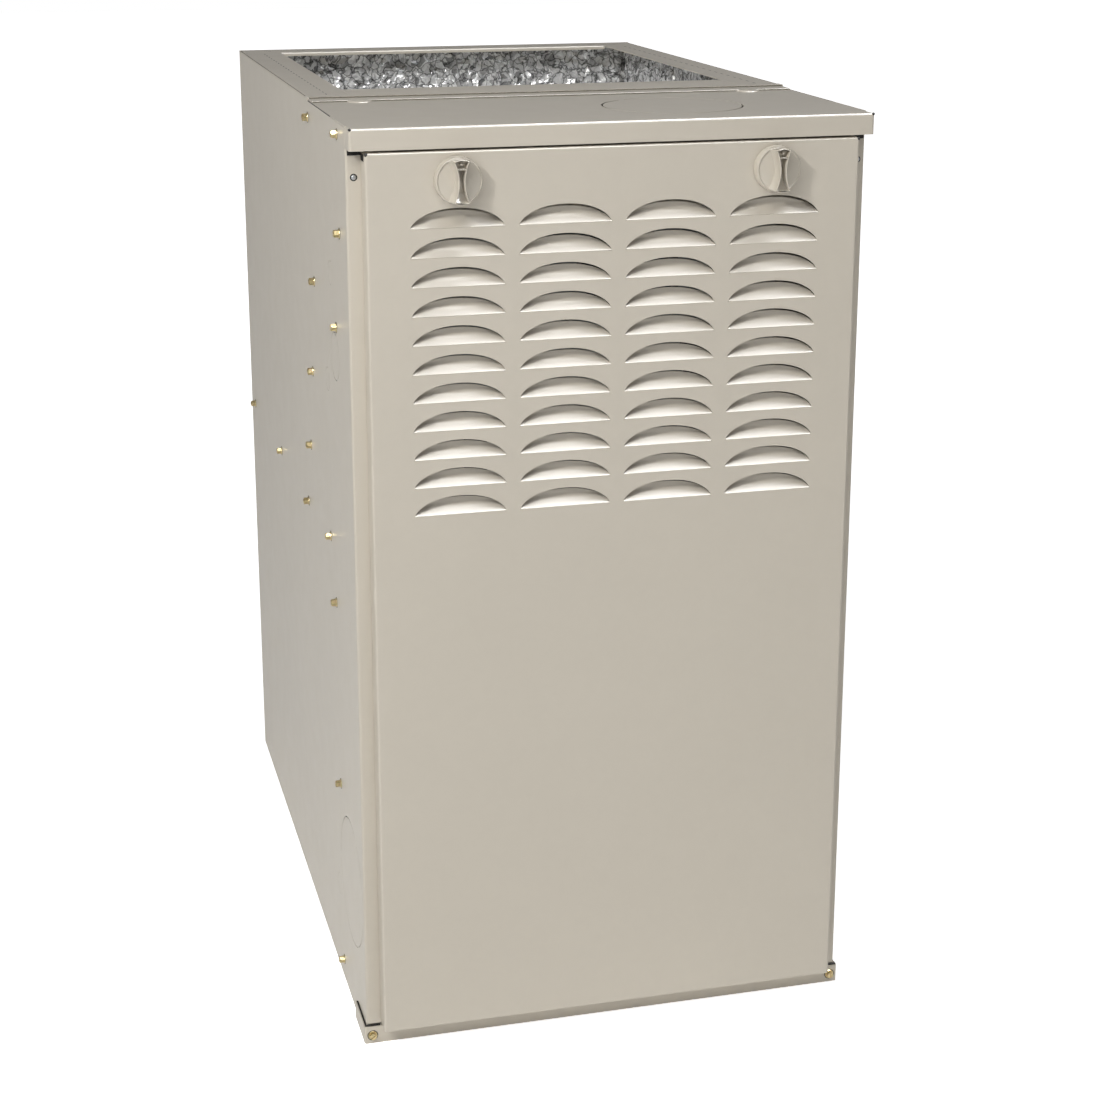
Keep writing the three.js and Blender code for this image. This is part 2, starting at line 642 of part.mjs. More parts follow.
// The outlet of the blower scroll, as a range of depths, for the hole in the shelf.
function outletRange() {
  const cutoff = (blower.cutoff * Math.PI) / 180;
  const near = (wheel.radius + blower.clearance) * Math.cos(cutoff);
  const far = wheel.radius + blower.clearance + blower.spread;
  return [blowerY + near, blowerY + far];
}

function blowerShelf() {
  const wide = inner - seat;
  const plate = block([-wide, wide], [shelfFace, rearInner], [shelfZ, shelfTop]);
  const apron = block([-wide, wide], [shelfFace, shelfFace + sheet], [shelfZ - shelf.flange, shelfTop]);
  const [holeNear, holeFar] = outletRange();
  const holeHalf = blower.width / 2;
  const hole = block([-holeHalf, holeHalf], [holeNear, holeFar], [shelfZ - 1, shelfTop + 1]);
  return cut(join(plate, apron), hole, plungerHole());
}

// Wall between the burners and the heat exchanger, with a port for each cell's inlet and outlet.
function cellPanel() {
  const wide = inner - seat;
  const plate = block([-wide, wide], [panelFace, panelFace + sheet], [shelfTop + seat, top - sheet - seat]);
  const ports = cellPlaces().flatMap((x) => [
    rod('y', cell.tube - cell.taper, panelFace - 1, panelFace + sheet + 1, [x, burnerZ], 10),
    rod('y', collector.window / 2, panelFace - 1, panelFace + sheet + 1, [x, outletZ], 8),
  ]);
  return cut(plate, ...ports);
}

function sideLiner(side) {
  const outer = inner - seat;
  const near = panelFace + sheet + seat;
  const far = rearInner - liner.thickness - seat;
  return block(across(side, outer - liner.thickness, outer), [near, far], [shelfTop + seat, top - sheet - seat]);
}

function backLiner() {
  const wide = inner - seat;
  return block([-wide, wide], [rearInner - liner.thickness, rearInner], [shelfTop + seat, top - sheet - seat]);
}

// One clamshell: a flat seam plate swollen into passes joined by return bends. Local to its inlet.
function exchangerCell() {
  const straight = cell.length - cell.tube - cellRise / 2 - cell.rim;
  const section = (radius) => ring(1, 6).map(([a, b]) => [(a * cell.width) / 2, b * radius]);
  const radiusOf = (pass) => cell.tube - cell.taper * pass;
  const passes = [];
  const near = cellRise / 2 + cell.tube;
  for (let pass = 0; pass < cell.passes; pass += 1) {
    const open = pass === 0 || pass === cell.passes - 1;
    const outline = section(radiusOf(pass)).map(([x, z]) => [x, z + pass * cellRise]);
    passes.push(prism(outline, 'y', open ? 0 : near, straight));
  }
  const bends = [];
  for (let pass = 0; pass < cell.passes - 1; pass += 1) {
    const out = pass % 2 === 0 ? 1 : -1;
    const centre = [0, out > 0 ? straight - 1 : near + 1, (pass + 0.5) * cellRise];
    const bow = arc(cellRise / 2, -Math.PI / 2, Math.PI / 2, 3);
    const path = bow.map(([y, z]) => [centre[0], centre[1] + out * y, centre[2] + z]);
    bends.push(flatPipe(path, section(radiusOf(pass + 0.5))));
  }
  const rim = cell.tube + cell.rim;
  const plate = block(
    [-cell.plate, cell.plate],
    [0, cell.length],
    [-rim, (cell.passes - 1) * cellRise + rim],
  );
  const sockets = [0, cell.passes - 1].map((pass) =>
    rod('y', radiusOf(pass) - cell.socket, -1, 2 * cell.tube, [0, pass * cellRise], 8),
  );
  return cut(join(plate, ...passes, ...bends), ...sockets);
}

// A flattened tube along points in the YZ plane. The section's first value lies along X.
function flatPipe(path, section) {
  const curve = new THREE.CatmullRomCurve3(path.map((p) => new THREE.Vector3(...p)));
  const shape = new THREE.Shape(section.map(([a, b]) => new THREE.Vector2(b, a)));
  return weld(new THREE.ExtrudeGeometry(shape, { steps: 3, extrudePath: curve, bevelEnabled: false }));
}

// Box over the cells' outlets, open towards the cell panel, with the inducer's inlet in its front.
function collectorBox() {
  const wide = (cellPitch * (cell.count - 1)) / 2 + collector.margin;
  const zTop = outletZ + collector.above;
  const outer = block([-wide, wide], [collectorFace, panelFace - seat], [zTop - collector.height, zTop]);
  const w = collector.wall;
  const hollow = block(
    [-wide + w, wide - w],
    [collectorFace + w, panelFace],
    [zTop - collector.height + w, zTop - w],
  );
  const eye = rod('y', inducer.eye, collectorFace - 1, collectorFace + 2 * w, [inducerX, inducerZ], 16);
  return cut(outer, hollow, eye);
}

function buildHeatExchanger(root) {
  add(root, 'blower_shelf', blowerShelf(), galvanised);
  add(root, 'cell_panel', cellPanel(), aluminised);
  add(root, 'left_liner', sideLiner(-1), foil);
  add(root, 'right_liner', sideLiner(1), foil);
  add(root, 'back_liner', backLiner(), foil);
  cellPlaces().forEach((x, i) => {
    add(root, `heat_exchanger_cell_${i + 1}`, exchangerCell(), aluminised, [x, panelFace + sheet + seat, burnerZ]);
  });
  add(root, 'collector_box', collectorBox(), aluminised);
}

// ---------------------------------------------------------------- draft inducer and vent

// Outline of a volute that opens upwards on its right, with its outlet's height, in (x, z).
function volute(clearance, spread, height) {
  const radius = inducerWheelRadius() + clearance;
  const steps = 16;
  const from = voluteStart;
  const spiral = Array.from({ length: steps + 1 }, (_, i) => {
    const angle = from + ((2 * Math.PI - from) * i) / steps;
    const r = radius + (spread * i) / steps;
    return [r * Math.cos(angle), r * Math.sin(angle)];
  });
  return [...spiral, [radius + spread, height], [spiral[0][0], height]];
}

function inducerWheelRadius() {
  return inducer.wheel;
}

// Local: the wheel's axis along Y, the seat on the collector at Y = 0, the housing towards -Y.
function inducerHousing() {
  const clearance = inducer.cavity - inducer.wheel;
  const outlet = ventBase() - inducerZ - seat;
  const shell = prism(volute(clearance + inducer.wall, inducer.spread, outlet), 'y', -inducer.depth, -seat);
  const hollow = prism(volute(clearance, inducer.spread, outlet + 1), 'y', -inducer.depth + inducer.wall, 1);
  const bore = rod('y', inducerWheel.shaft + running, -inducer.depth - 1, 1, [0, 0], 12);
  const root = inducer.cavity + inducer.spread + inducer.wall;
  const stub = rod('x', nipple.radius, root - 1, root + nipple.length, [-inducer.depth / 2, 0], 8);
  return join(cut(shell, hollow, bore), stub);
}

function ventBase() {
  return inducerZ + inducer.cavity + inducer.spread + inducer.gap;
}

function inducerMotorBody() {
  const near = -inducer.depth - seat;
  const far = near - inducerMotor.length;
  const r = inducerMotor.radius;
  const profile = [[0, far], [r - 10, far], [r, far + 10], [r, near - 14], [r - 8, near - 4], [r - 8, near], [0, near]];
  const socket = rod('y', inducerWheel.shaft + running, near - shaft.socket, near + 1, [0, 0], 12);
  return cut(turned(profile, 'y', 16), socket);
}

function inducerRotor() {
  const rear = -inducer.wall - 4;
  const face = rear - inducerWheel.width;
  const disc = rod('y', inducer.wheel, face, face + inducerWheel.plate, [0, 0], 18);
  const hub = rod('y', inducerWheel.hub, face, rear - 8, [0, 0], 12);
  const stem = rod('y', inducerWheel.shaft, -inducer.depth - seat - shaft.socket + 2, face + 1, [0, 0], 12);
  const blade = block([inducerWheel.hub - 2, inducer.wheel - 1], [face, rear], [-0.8, 0.8]);
  const blades = Array.from({ length: inducerWheel.blades }, (_, i) =>
    blade.clone().rotateY((i * 2 * Math.PI) / inducerWheel.blades),
  );
  return join(disc, hub, stem, ...blades);
}

// Rectangle through the same number of points as a ring of that many sides.
function squared(halfWidth, halfDepth, sides, [x, y]) {
  return ring(1, sides).map(([a, b]) => {
    const reach = Math.max(Math.abs(a), Math.abs(b));
    return [x + (a / reach) * halfWidth, y + (b / reach) * halfDepth];
  });
}

// Flanged boot from the inducer's rectangular outlet to a round collar under the cap's vent knockout.
function ventBoot() {
  const left = inducer.cavity * Math.cos(voluteStart);
  const right = inducer.cavity + inducer.spread;
  const centre = [inducerX + (left + right) / 2, collectorFace - inducer.depth / 2];
  const [halfWidth, halfDepth] = [(right - left) / 2, inducer.depth / 2 - inducer.wall];
  const low = ventBase();
  const high = underCap - vent.gap;
  const waist = high - vent.collar;
  const skin = (shrink, over) => {
    const foot = squared(halfWidth - shrink, halfDepth - shrink, vent.sides, centre);
    const round = ring(vent.pipe - shrink, vent.sides, [ventX, front + vent.fromFront]);
    const at = (points, z) => points.map(([x, y]) => [x, y, z]);
    return loft([at(foot, low - over), at(foot, low + vent.wall), at(round, waist), at(round, high + over)]);
  };
  const reach = halfWidth + vent.flange;
  const plate = block(
    [centre[0] - reach, centre[0] + reach],
    [centre[1] - inducer.depth / 2, centre[1] + inducer.depth / 2 - 2 * seat],
    [low, low + 2 * vent.wall],
  );
  return cut(join(skin(0, 0), plate), skin(vent.wall, 1));
}

function buildInducer(root) {
  const place = [inducerX, collectorFace, inducerZ];
  const group = assembly(root, place);
  add(group, 'inducer_housing', inducerHousing(), castGrey);
  add(group, 'inducer_motor', inducerMotorBody(), black);
  add(group, 'inducer_wheel', inducerRotor(), galvanised);
  add(root, 'vent_boot', ventBoot(), galvanised);
}

// ---------------------------------------------------------------- burners and gas train

// In-shot burner: bell, venturi throat and flared mouth. Local: its axis along Y, its mouth at Y = 0.
function burnerBody() {
  const l = burner.length;
  const profile = [
    [burner.bore, burner.lip - l], [burner.bell, -l], [burner.bell, burner.lip - l], [burner.throat, burner.entry - l],
    [burner.throat + burner.lip, -burner.neck], [burner.mouth, -burner.flare], [burner.mouth, 0],
    [burner.mouth - burner.lip, 0], [burner.bore, -burner.flare],
  ];
  const body = turned(profile, 'y', 10);
  const hanger = block([-ear.half, ear.half], [-ear.far, -ear.near], [burner.mouth - ear.near, rackHeight() - seat]);
  return join(body, hanger);
}

function rackHeight() {
  return burner.mouth + rack.clear;
}

function rackTop() {
  return burnerZ + rackHeight() + rack.wall;
}

// Channel over the burners, with an end plate on each side and a port plate at the cell panel.
function burnerRack() {
  const wide = (cellPitch * (cell.count - 1)) / 2 + rack.overhang;
  const z = rackHeight();
  const w = rack.wall;
  const roof = block([-wide, wide], [-burner.length / 2, 0], [z, z + w]);
  const ends = [-1, 1].map((side) => block(across(side, wide - w, wide), [-burner.length / 2, 0], [-rack.drop, z + w]));
  return join(roof, ...ends);
}

// Pipe with one spud in front of each burner, a riser to the valve and capped ends.
function gasManifold() {
  const reach = (cellPitch * (cell.count - 1)) / 2 + manifold.overhang;
  const y = manifoldY();
  const bar = rod('x', manifold.radius, -reach, reach, [y, burnerZ], 12);
  const spudEnd = y + manifold.radius + manifold.spudLength;
  const spuds = cellPlaces().map((x) => rod('y', manifold.spud, y, spudEnd, [x, burnerZ], 8));
  const riser = rod('z', manifold.radius, burnerZ, valveBottom() - seat, [valveX, y], 12);
  return join(bar, riser, ...spuds);
}

function burnerMouth() {
  return panelFace - seat - burner.gap;
}

function manifoldY() {
  return burnerMouth() - burner.length - manifold.gap - manifold.spudLength - manifold.radius;
}

function valveBottom() {
  return gasZ - valve.height / 2;
}

// Gas valve body with its inlet boss towards the left side's gas knockout.
function gasValve() {
  const inletAxis = [front + gasKnockout.fromFront, gasZ];
  const y1 = inletAxis[0] + valve.margin;
  const z0 = valveBottom();
  const z1 = z0 + valve.height;
  const left = valveX - valve.width / 2;
  const shoulder = z1 - valve.head;
  const body = block([left, left + valve.width], [valveFace(), y1], [z0 + valve.boss, shoulder + seat]);
  const head = block(
    [valveX - valve.margin, valveX + valve.margin + lever.hub],
    [valveFace() + valve.boss, y1 - lever.length],
    [shoulder, z1],
  );
  const dial = [left + valve.boss, y1 - valve.boss];
  const regulator = rod('z', valve.regulator, shoulder, z1 - lever.hub, dial, 10);
  const outlet = rod('z', valve.outlet, z0, z0 + valve.boss + 1, [valveX, manifoldY()], 8);
  const inlet = rod('x', valve.inlet + lever.hub, left - valve.boss, left + 1, inletAxis, 8);
  const bore = rod('x', valve.inlet - lever.stand, left - valve.boss - 1, left + lever.stand, inletAxis, 12);
  return cut(join(body, head, regulator, outlet, inlet), bore);
}

function valveFace() {
  return manifoldY() - manifold.radius - valveWall;
}

// Lever that turns about Y on the valve's front. Local to its pivot.
function gasSwitch() {
  const hub = rod('y', lever.hub, -lever.stand - 2, 0, [0, 0], 12);
  const arm = block([-lever.width / 2, lever.width / 2], [-lever.stand - 2, -lever.stand + 1], [0, lever.length]);
  return join(hub, arm);
}

function hotSurfaceIgnitor() {
  const x = cellPitch / 2;
  const y = burnerMouth() - ignitor.behind;
  const z = rackTop() + seat;
  const { base: b, depth: d, clip: c, rise } = ignitor;
  const seatBlock = block([x - b, x + b], [y - d, y + d], [z, z + rise]);
  const post = block([x - c, x + c], [y - c, y + c], [z + rise - seat, z + ignitor.height]);
  return join(seatBlock, post);
}

function flameSensor() {
  const x = cellPlaces()[0];
  const y = burnerMouth() - sensor.behind;
  const z = rackTop() + seat;
  const plate = block([x - sensor.left, x + sensor.right], [y - sensor.depth, y + sensor.depth], [z, z + rack.wall]);
  const insulator = rod('z', sensor.radius, z, z + sensor.height, [x - sensor.inset, y], 10);
  return join(plate, insulator);
}

// Snap disc switch: round can on a flange. Local: it stands along -Y from its seat.
function discSwitch(spec) {
  const flange = block([-spec.flange, spec.flange], [-1.5, 0], [-spec.radius * 0.6, spec.radius * 0.6]);
  const can = rod('y', spec.radius, -spec.body, 0, [0, 0], 16);
  return join(flange, can);
}

function rolloutSwitch() {
  const well = rod('y', rollout.button + running, -rollout.body - 1, rollout.well - rollout.body, [0, 0], 10);
  return cut(discSwitch(rollout), well);
}

// Round diaphragm housing on a bracket, with a nipple for its hose. Local: it stands along -Y.
function pressureSwitch() {
  const s = pressure.stand;
  const { plate: p, post: q } = pressure;
  const bracketPlate = block([-p, p], [-rack.wall, 0], [-p, p]);
  const post = block([-q, q], [-s - 1, -1], [-q, q]);
  const rearHalf = rod('y', pressure.radius, -s - pressure.depth / 2, -s, [0, 0], 16);
  const frontHalf = rod('y', pressure.radius - pressure.step, -s - pressure.depth, -s, [0, 0], 16);
  const tip = pressure.radius + nipple.length;
  const stub = rod('z', nipple.radius, pressure.radius - nipple.length / 2, tip, [0, -s - pressure.depth / 4], 8);
  return join(bracketPlate, post, rearHalf, frontHalf, stub);
}

// Hose pushed over the switch's nipple and over the one on the inducer's side.
function pressureHose() {
  const y = panelFace - seat - pressure.stand - pressure.depth / 4;
  const foot = pressureZ + pressure.radius + seat;
  const [endX, endY, endZ] = inducerNipple();
  const path = [
    [pressureX, y, foot], [pressureX, y, foot + nipple.length + 2], [pressureX, y - 2, foot + 34],
    [pressureX - 10, (y + endY) / 2, endZ - 6], [endX + nipple.length + 4, endY, endZ], [endX, endY, endZ],
  ];
  const fit = nipple.radius + seat;
  const low = rod('z', fit, foot - 1, foot + nipple.length + 1, [pressureX, y], 8);
  const high = rod('x', fit, endX - 1, endX + nipple.length + 1, [endY, endZ], 8);
  return cut(pipe(path, hose.radius, hose.sides, hose.steps), low, high);
}

// Where the hose ends against the inducer's side.
function inducerNipple() {
  const x = inducerX + inducer.cavity + inducer.spread + inducer.wall + seat;
  return [x, collectorFace - inducer.depth / 2, inducerZ];
}

function buildBurners(root) {
  const group = assembly(root, [0, burnerMouth(), burnerZ]);
  cellPlaces().forEach((x, i) => add(group, `burner_${i + 1}`, burnerBody(), aluminised, [x, 0, 0]));
  add(group, 'burner_rack', burnerRack(), galvanised);
  add(root, 'gas_manifold', gasManifold(), castGrey);
  add(root, 'gas_valve', gasValve(), castGrey);
  add(root, 'gas_valve_switch', gasSwitch(), red, [valveX + lever.right, valveFace() - seat, gasZ + lever.above]);
  add(root, 'hot_surface_ignitor', hotSurfaceIgnitor(), ceramic);
  add(root, 'flame_sensor', flameSensor(), ceramic);
  const discZ = rackTop() + rollout.above;
  const seatY = panelFace - seat;
  const rolloutGroup = assembly(root, [-cellPitch / 2, seatY, discZ]);
  add(rolloutGroup, 'rollout_switch', rolloutSwitch(), black);
  const button = rod('y', rollout.button, -rollout.body - rollout.button, rollout.well - rollout.body - rollout.travel - running, [0, 0], 10);
  add(rolloutGroup, 'rollout_reset_button', button, red);
  add(root, 'limit_switch', discSwitch(limit), black, [cellPitch / 2 + limit.right, seatY, outletZ - limit.below]);
  add(root, 'pressure_switch', pressureSwitch(), black, [pressureX, seatY, pressureZ]);
  add(root, 'pressure_hose', pressureHose(), black);
}

// ---------------------------------------------------------------- controls

function junctionBox() {
  const x0 = -inner + seat;
  const y0 = front + junction.fromFront;
  const z0 = top - junction.belowTop;
  const { width, depth, height, rim } = junction;
  const shell = block([x0, x0 + width], [y0, y0 + depth], [z0, z0 + height]);
  const lid = block(
    [x0 + rim, x0 + width + junction.lid],
    [y0 + rim, y0 + depth - rim],
    [z0 + rim, z0 + height - rim],
  );
  return join(shell, lid);
}

// Bracket that hangs under the shelf and carries the control board and transformer.
function boardBracket() {
  const y = boardBack();
  const x0 = boardLeft - bracket.margin;
  const x1 = transformerX + transformer.width / 2 + bracket.margin;
  const zTop = shelfZ - seat;
  const plate = block([x0, x1], [y, y + bracket.wall], [boardBottom - bracket.margin, zTop]);
  const flange = block([x0, x1], [y, y + bracket.flange], [zTop - bracket.wall, zTop]);
  return join(plate, flange);
}

function boardBack() {
  return front + board.fromFront + board.thickness + board.standoff + seat;
}

// A block on the front of the circuit board, placed from its lower left corner.
function onBoard(part) {
  const face = front + board.fromFront;
  const [x, z] = [boardLeft + part.left, boardBottom + part.bottom];
  return block([x, x + part.width], [face - part.depth, face + foot.sink], [z, z + part.height]);
}

// Circuit board with relays, a capacitor, a terminal strip and a fuse holder, on four standoffs.
function controlBoard() {
  const face = front + board.fromFront;
  const plate = block(
    [boardLeft, boardLeft + board.width],
    [face, face + board.thickness],
    [boardBottom, boardBottom + board.height],
  );
  const parts = [...relays, terminals, fuse, chip, plug].map(onBoard);
  const canPlace = [boardLeft + boardCan.left, boardBottom + boardCan.bottom];
  const can = rod('y', boardCan.radius, face - boardCan.depth, face + foot.sink, canPlace, 12);
  const feet = [foot.inset, board.width - foot.inset].flatMap((x) =>
    [foot.low, foot.high].map((z) => {
      const end = face + board.thickness + board.standoff;
      return rod('y', foot.radius, face + foot.sink, end, [boardLeft + x, boardBottom + z], 6);
    }),
  );
  return join(plate, ...parts, can, ...feet);
}

function transformerBody() {
  const x0 = transformerX - transformer.width / 2;
  const y1 = boardBack() - seat;
  const y0 = y1 - transformer.depth;
  const z = shelfZ - transformer.below;
  const { width, height, coil: reach, frame } = transformer;
  const core = block([x0, x0 + width], [y0 + reach, y1], [z, z + height]);
  const coil = block([x0 + reach, x0 + width - reach], [y0, y1 - seat], [z + frame, z + height - frame]);
  return join(core, coil);
}

// Safety switch behind the shelf's front flange. Its plunger rests against the door's stiffener.
function safetySwitch() {
  const y0 = safetyFace();
  const z1 = shelfZ - safety.drop;
  const body = block(
    [safetyX - safety.width / 2, safetyX + safety.width / 2],
    [y0, y0 + safety.depth],
    [z1 - safety.height, z1],
  );
  const well = rod('y', safety.plunger + running, y0 - 1, y0 + safety.well, [safetyX, plungerZ()], 12);
  return cut(body, well);
}

function safetyFace() {
  return shelfFace + sheet + seat;
}

function plungerZ() {
  return shelfZ - safety.drop - safety.height / 2;
}

// Pressed in by the closed door. It follows the door out by its travel.
function safetyPlunger() {
  const tip = front - stiffener.gap + seat;
  const end = safetyFace() + safety.well - running;
  return rod('y', safety.plunger, tip, end, [safetyX, plungerZ()], 12);
}

function plungerHole() {
  const centre = [safetyX, plungerZ()];
  return rod('y', safety.plunger + running, shelfFace - 1, shelfFace + sheet + 1, centre, 12);
}

function buildControls(root) {
  add(root, 'junction_box', junctionBox(), galvanised);
  add(root, 'board_bracket', boardBracket(), galvanised);
  add(root, 'control_board', controlBoard(), boardGreen);
  add(root, 'transformer', transformerBody(), black);
  add(root, 'door_safety_switch', safetySwitch(), black);
  add(root, 'door_switch_plunger', safetyPlunger(), ceramic);
}

// ---------------------------------------------------------------- blower

// The scroll's spiral about the wheel's axis, grown by a wall, in (y, z).
function scrollSpiral(wall, fromDegrees) {
  const cutoff = (blower.cutoff * Math.PI) / 180;
  const start = (fromDegrees * Math.PI) / 180;
  const end = 2 * Math.PI;
  const base0 = wheel.radius + blower.clearance;
  return Array.from({ length: blower.steps + 1 }, (_, i) => {
    const angle = start + ((end - start) * i) / blower.steps;
    const r = base0 + (blower.spread * (angle - cutoff)) / (end - cutoff) + wall;
    return [r * Math.cos(angle), r * Math.sin(angle)];
  });
}

// Bent wrap from the outlet's front edge, round the wheel, and up to the outlet's rear edge.
function blowerScroll() {
  const w = blower.wall;
  const outer = scrollSpiral(w, blower.cutoff + 2);
  const core = scrollSpiral(0, blower.cutoff);
  const lip = core[0][0];
  const far = core[blower.steps][0];
  const outline = [
    [lip - w, blowerTop], [lip - w, outer[0][1]], ...outer, [far + w, blowerTop],
    [far, blowerTop], ...core.reverse(), [lip, blowerTop],
  ];
  const span = blower.width / 2;
  return prism(outline, 'x', -span, span);
}

// Side plate with a rolled inlet ring that reaches in to the wheel.
function blowerSide(side) {
  const span = blower.width / 2 + seat;
  const outer = scrollSpiral(blower.wall, blower.cutoff);
  const outline = [...outer, [outer[blower.steps][0], blowerTop], [outer[0][0] - blower.wall, blowerTop]];
  const mouth = inletRadius();
  const w = blower.wall;
  const plate = prism(outline, 'x', ...across(side, span, span + w), [ring(mouth - w / 2, 20)]);
  const reach = wheel.width / 2 + 3 * running;
  const lip = rod('x', mouth, ...across(side, reach, span + 2 * w), [0, 0], 20, mouth - w);
  return join(plate, lip);
}

function inletRadius() {
  return wheel.inner - 4;
}

// Forward-curved blade section, as [radius, degrees] on its two faces, in (y, z).
function bladeOutline() {
  const camber = [[wheel.inner, 0], [wheel.radius - 1, 6]];
  const thick = 0.8;
  const faces = [...camber, ...camber.map(([r, a]) => [r, a + thick]).reverse()];
  return faces.map(([r, a]) => [r * Math.cos((a * Math.PI) / 180), r * Math.sin((a * Math.PI) / 180)]);
}

// Squirrel cage wheel: blades between two end rings, on a web with a hub.
function blowerWheel() {
  const span = wheel.width / 2;
  const blade = prism(bladeOutline(), 'x', -span + 1, span - 1);
  const blades = Array.from({ length: wheel.blades }, (_, i) =>
    blade.clone().rotateX((i * 2 * Math.PI) / wheel.blades),
  );
  const ringR = wheel.radius - wheel.ring;
  const rims = [-1, 1].map((side) =>
    rod('x', wheel.radius, ...across(side, span - wheel.rim, span), [0, 0], wheel.blades, ringR),
  );
  const web = rod('x', wheel.inner + 3, -wheel.web / 2, wheel.web / 2, [0, 0], wheel.blades, shaft.radius + seat);
  const hub = rod('x', wheel.hub, -wheel.hub, wheel.hub, [0, 0], 16, shaft.radius + seat);
  return join(web, hub, ...rims, ...blades);
}

function motorFace() {
  return -blower.width / 2 - blowerMotor.overhang + blowerMotor.length;
}

function blowerShaft() {
  const from = motorFace() - shaft.socket;
  return rod('x', shaft.radius, from, wheel.hub + 8, [0, 0], 12);
}

// Motor in the left inlet. Its shaft turns in the socket of its end bell.
function blowerMotorBody() {
  const near = motorFace();
  const far = near - blowerMotor.length;
  const r = blowerMotor.radius;
  const b = blowerMotor.bell;
  const profile = [[0, far], [r - b, far], [r, far + b], [r, near - b], [r - b, near], [0, near]];
  const socket = rod('x', shaft.radius + running, near - shaft.socket - 2, near + 1, [0, 0], 12);
  return cut(turned(profile, 'x', 16), socket);
}

// Band round the motor with three arms to the left side plate.
function motorMount() {
  const plane = -blower.width / 2 - 2 * seat - blower.wall;
  const r = blowerMotor.radius + seat;
  const bandFrom = plane - mount.band - 2;
  const band = rod('x', r + mount.thickness, bandFrom, bandFrom + mount.band, [0, 0], 16, r);
  const reach = inletRadius() + mount.pad;
  const t = mount.thickness;
  const arm = join(
    block([bandFrom + mount.band / 2, bandFrom + mount.band / 2 + t], [-mount.width / 2, mount.width / 2], [r + 1, reach]),
    block([bandFrom + mount.band / 2, plane], [-mount.width / 2, mount.width / 2], [reach - t, reach]),
    block([plane - t, plane], [-mount.width / 2, mount.width / 2], [reach - t, reach + mount.pad]),
  );
  const arms = Array.from({ length: mount.arms }, (_, i) => arm.clone().rotateX((i * 2 * Math.PI) / mount.arms));
  return join(band, ...arms);
}

// Run capacitor in its strap, on the outside of the right side plate. Local to the blower's axis.
function runCapacitor() {
  const x = blower.width / 2 + seat + blower.wall + seat;
  const centre = [x + capacitor.radius + capacitor.lift, -wheel.radius - capacitor.radius];
  const can = rod('z', capacitor.radius, -capacitor.length / 2, capacitor.length / 2, centre, 16);
  const reach = [centre[1] - capacitor.strapReach, centre[1] + capacitor.strapReach];
  const strap = block([x, x + capacitor.saddle], reach, [-capacitor.strap / 2, capacitor.strap / 2]);
  return join(can, strap);
}

function buildBlower(root) {
  const group = assembly(root, [0, blowerY, wheelZ]);
  add(group, 'blower_scroll', blowerScroll(), galvanised);
  add(group, 'blower_side_left', blowerSide(-1), galvanised);
  add(group, 'blower_side_right', blowerSide(1), galvanised);
  add(group, 'blower_wheel', blowerWheel(), galvanised);
  add(group, 'blower_shaft', blowerShaft(), castGrey);
  add(group, 'blower_motor', blowerMotorBody(), black);
  add(group, 'motor_mount', motorMount(), galvanised);
  add(group, 'run_capacitor', runCapacitor(), castGrey);
}

// ---------------------------------------------------------------- the whole furnace

const furnace = new THREE.Group();
buildCasing(furnace);
buildDoor(furnace);
buildHeatExchanger(furnace);
buildInducer(furnace);
buildBurners(furnace);
buildControls(furnace);
buildBlower(furnace);

export default furnace;
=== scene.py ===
import json
import math

import bmesh
import bpy
from mathutils import Matrix, Vector
from mathutils.geometry import tessellate_polygon


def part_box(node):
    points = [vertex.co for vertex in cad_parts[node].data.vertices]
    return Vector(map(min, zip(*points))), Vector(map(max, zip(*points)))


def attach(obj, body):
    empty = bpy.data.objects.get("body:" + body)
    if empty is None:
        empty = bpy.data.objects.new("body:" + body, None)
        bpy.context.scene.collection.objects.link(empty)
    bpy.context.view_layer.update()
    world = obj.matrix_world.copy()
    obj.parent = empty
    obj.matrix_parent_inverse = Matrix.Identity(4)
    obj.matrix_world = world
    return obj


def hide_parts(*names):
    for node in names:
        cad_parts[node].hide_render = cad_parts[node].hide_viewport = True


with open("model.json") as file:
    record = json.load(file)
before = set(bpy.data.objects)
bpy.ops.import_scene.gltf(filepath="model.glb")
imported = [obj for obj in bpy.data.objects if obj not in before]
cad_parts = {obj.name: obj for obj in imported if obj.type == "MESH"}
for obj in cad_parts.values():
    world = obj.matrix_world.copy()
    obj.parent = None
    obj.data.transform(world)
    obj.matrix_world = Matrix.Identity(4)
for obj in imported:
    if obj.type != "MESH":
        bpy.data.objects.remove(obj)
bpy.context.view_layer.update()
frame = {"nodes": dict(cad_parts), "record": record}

# ---------------------------------------------------------------- sizes, in metres

SHEET = 0.0009
SEAT = 0.0003
BEND = 0.0024
TURN = 0.0045  # how far a folded strip reaches from its corner

HALF = 0.230
INNER = HALF - SHEET
FRONT = -0.3645
BACK = 0.3645
TOP = 0.846
WALL_BACK = BACK - SHEET - SEAT
RIDGE = FRONT + 0.205
NOSE_END = RIDGE + 0.0123
CAP_TOP = TOP - 0.0026
STEP = 0.0013
CAP_FRONT = FRONT - 0.020
CAP_ROUND = 0.0028
WRAP_END = FRONT + 0.075
LIP_FOOT = CAP_TOP - 0.0185
DOOR_BACK = FRONT - SEAT
DOOR_HALF = 0.217
DOOR_TOP = LIP_FOOT - 0.0019
DOOR_FOOT = 0.0188
RAIL_HALF = HALF + 0.0025
RAIL_FRONT = FRONT - 0.0025
RAIL_HEIGHT = 0.017
FLANGE_EDGE = HALF - 0.041
REAR_EDGE = BACK - 0.045

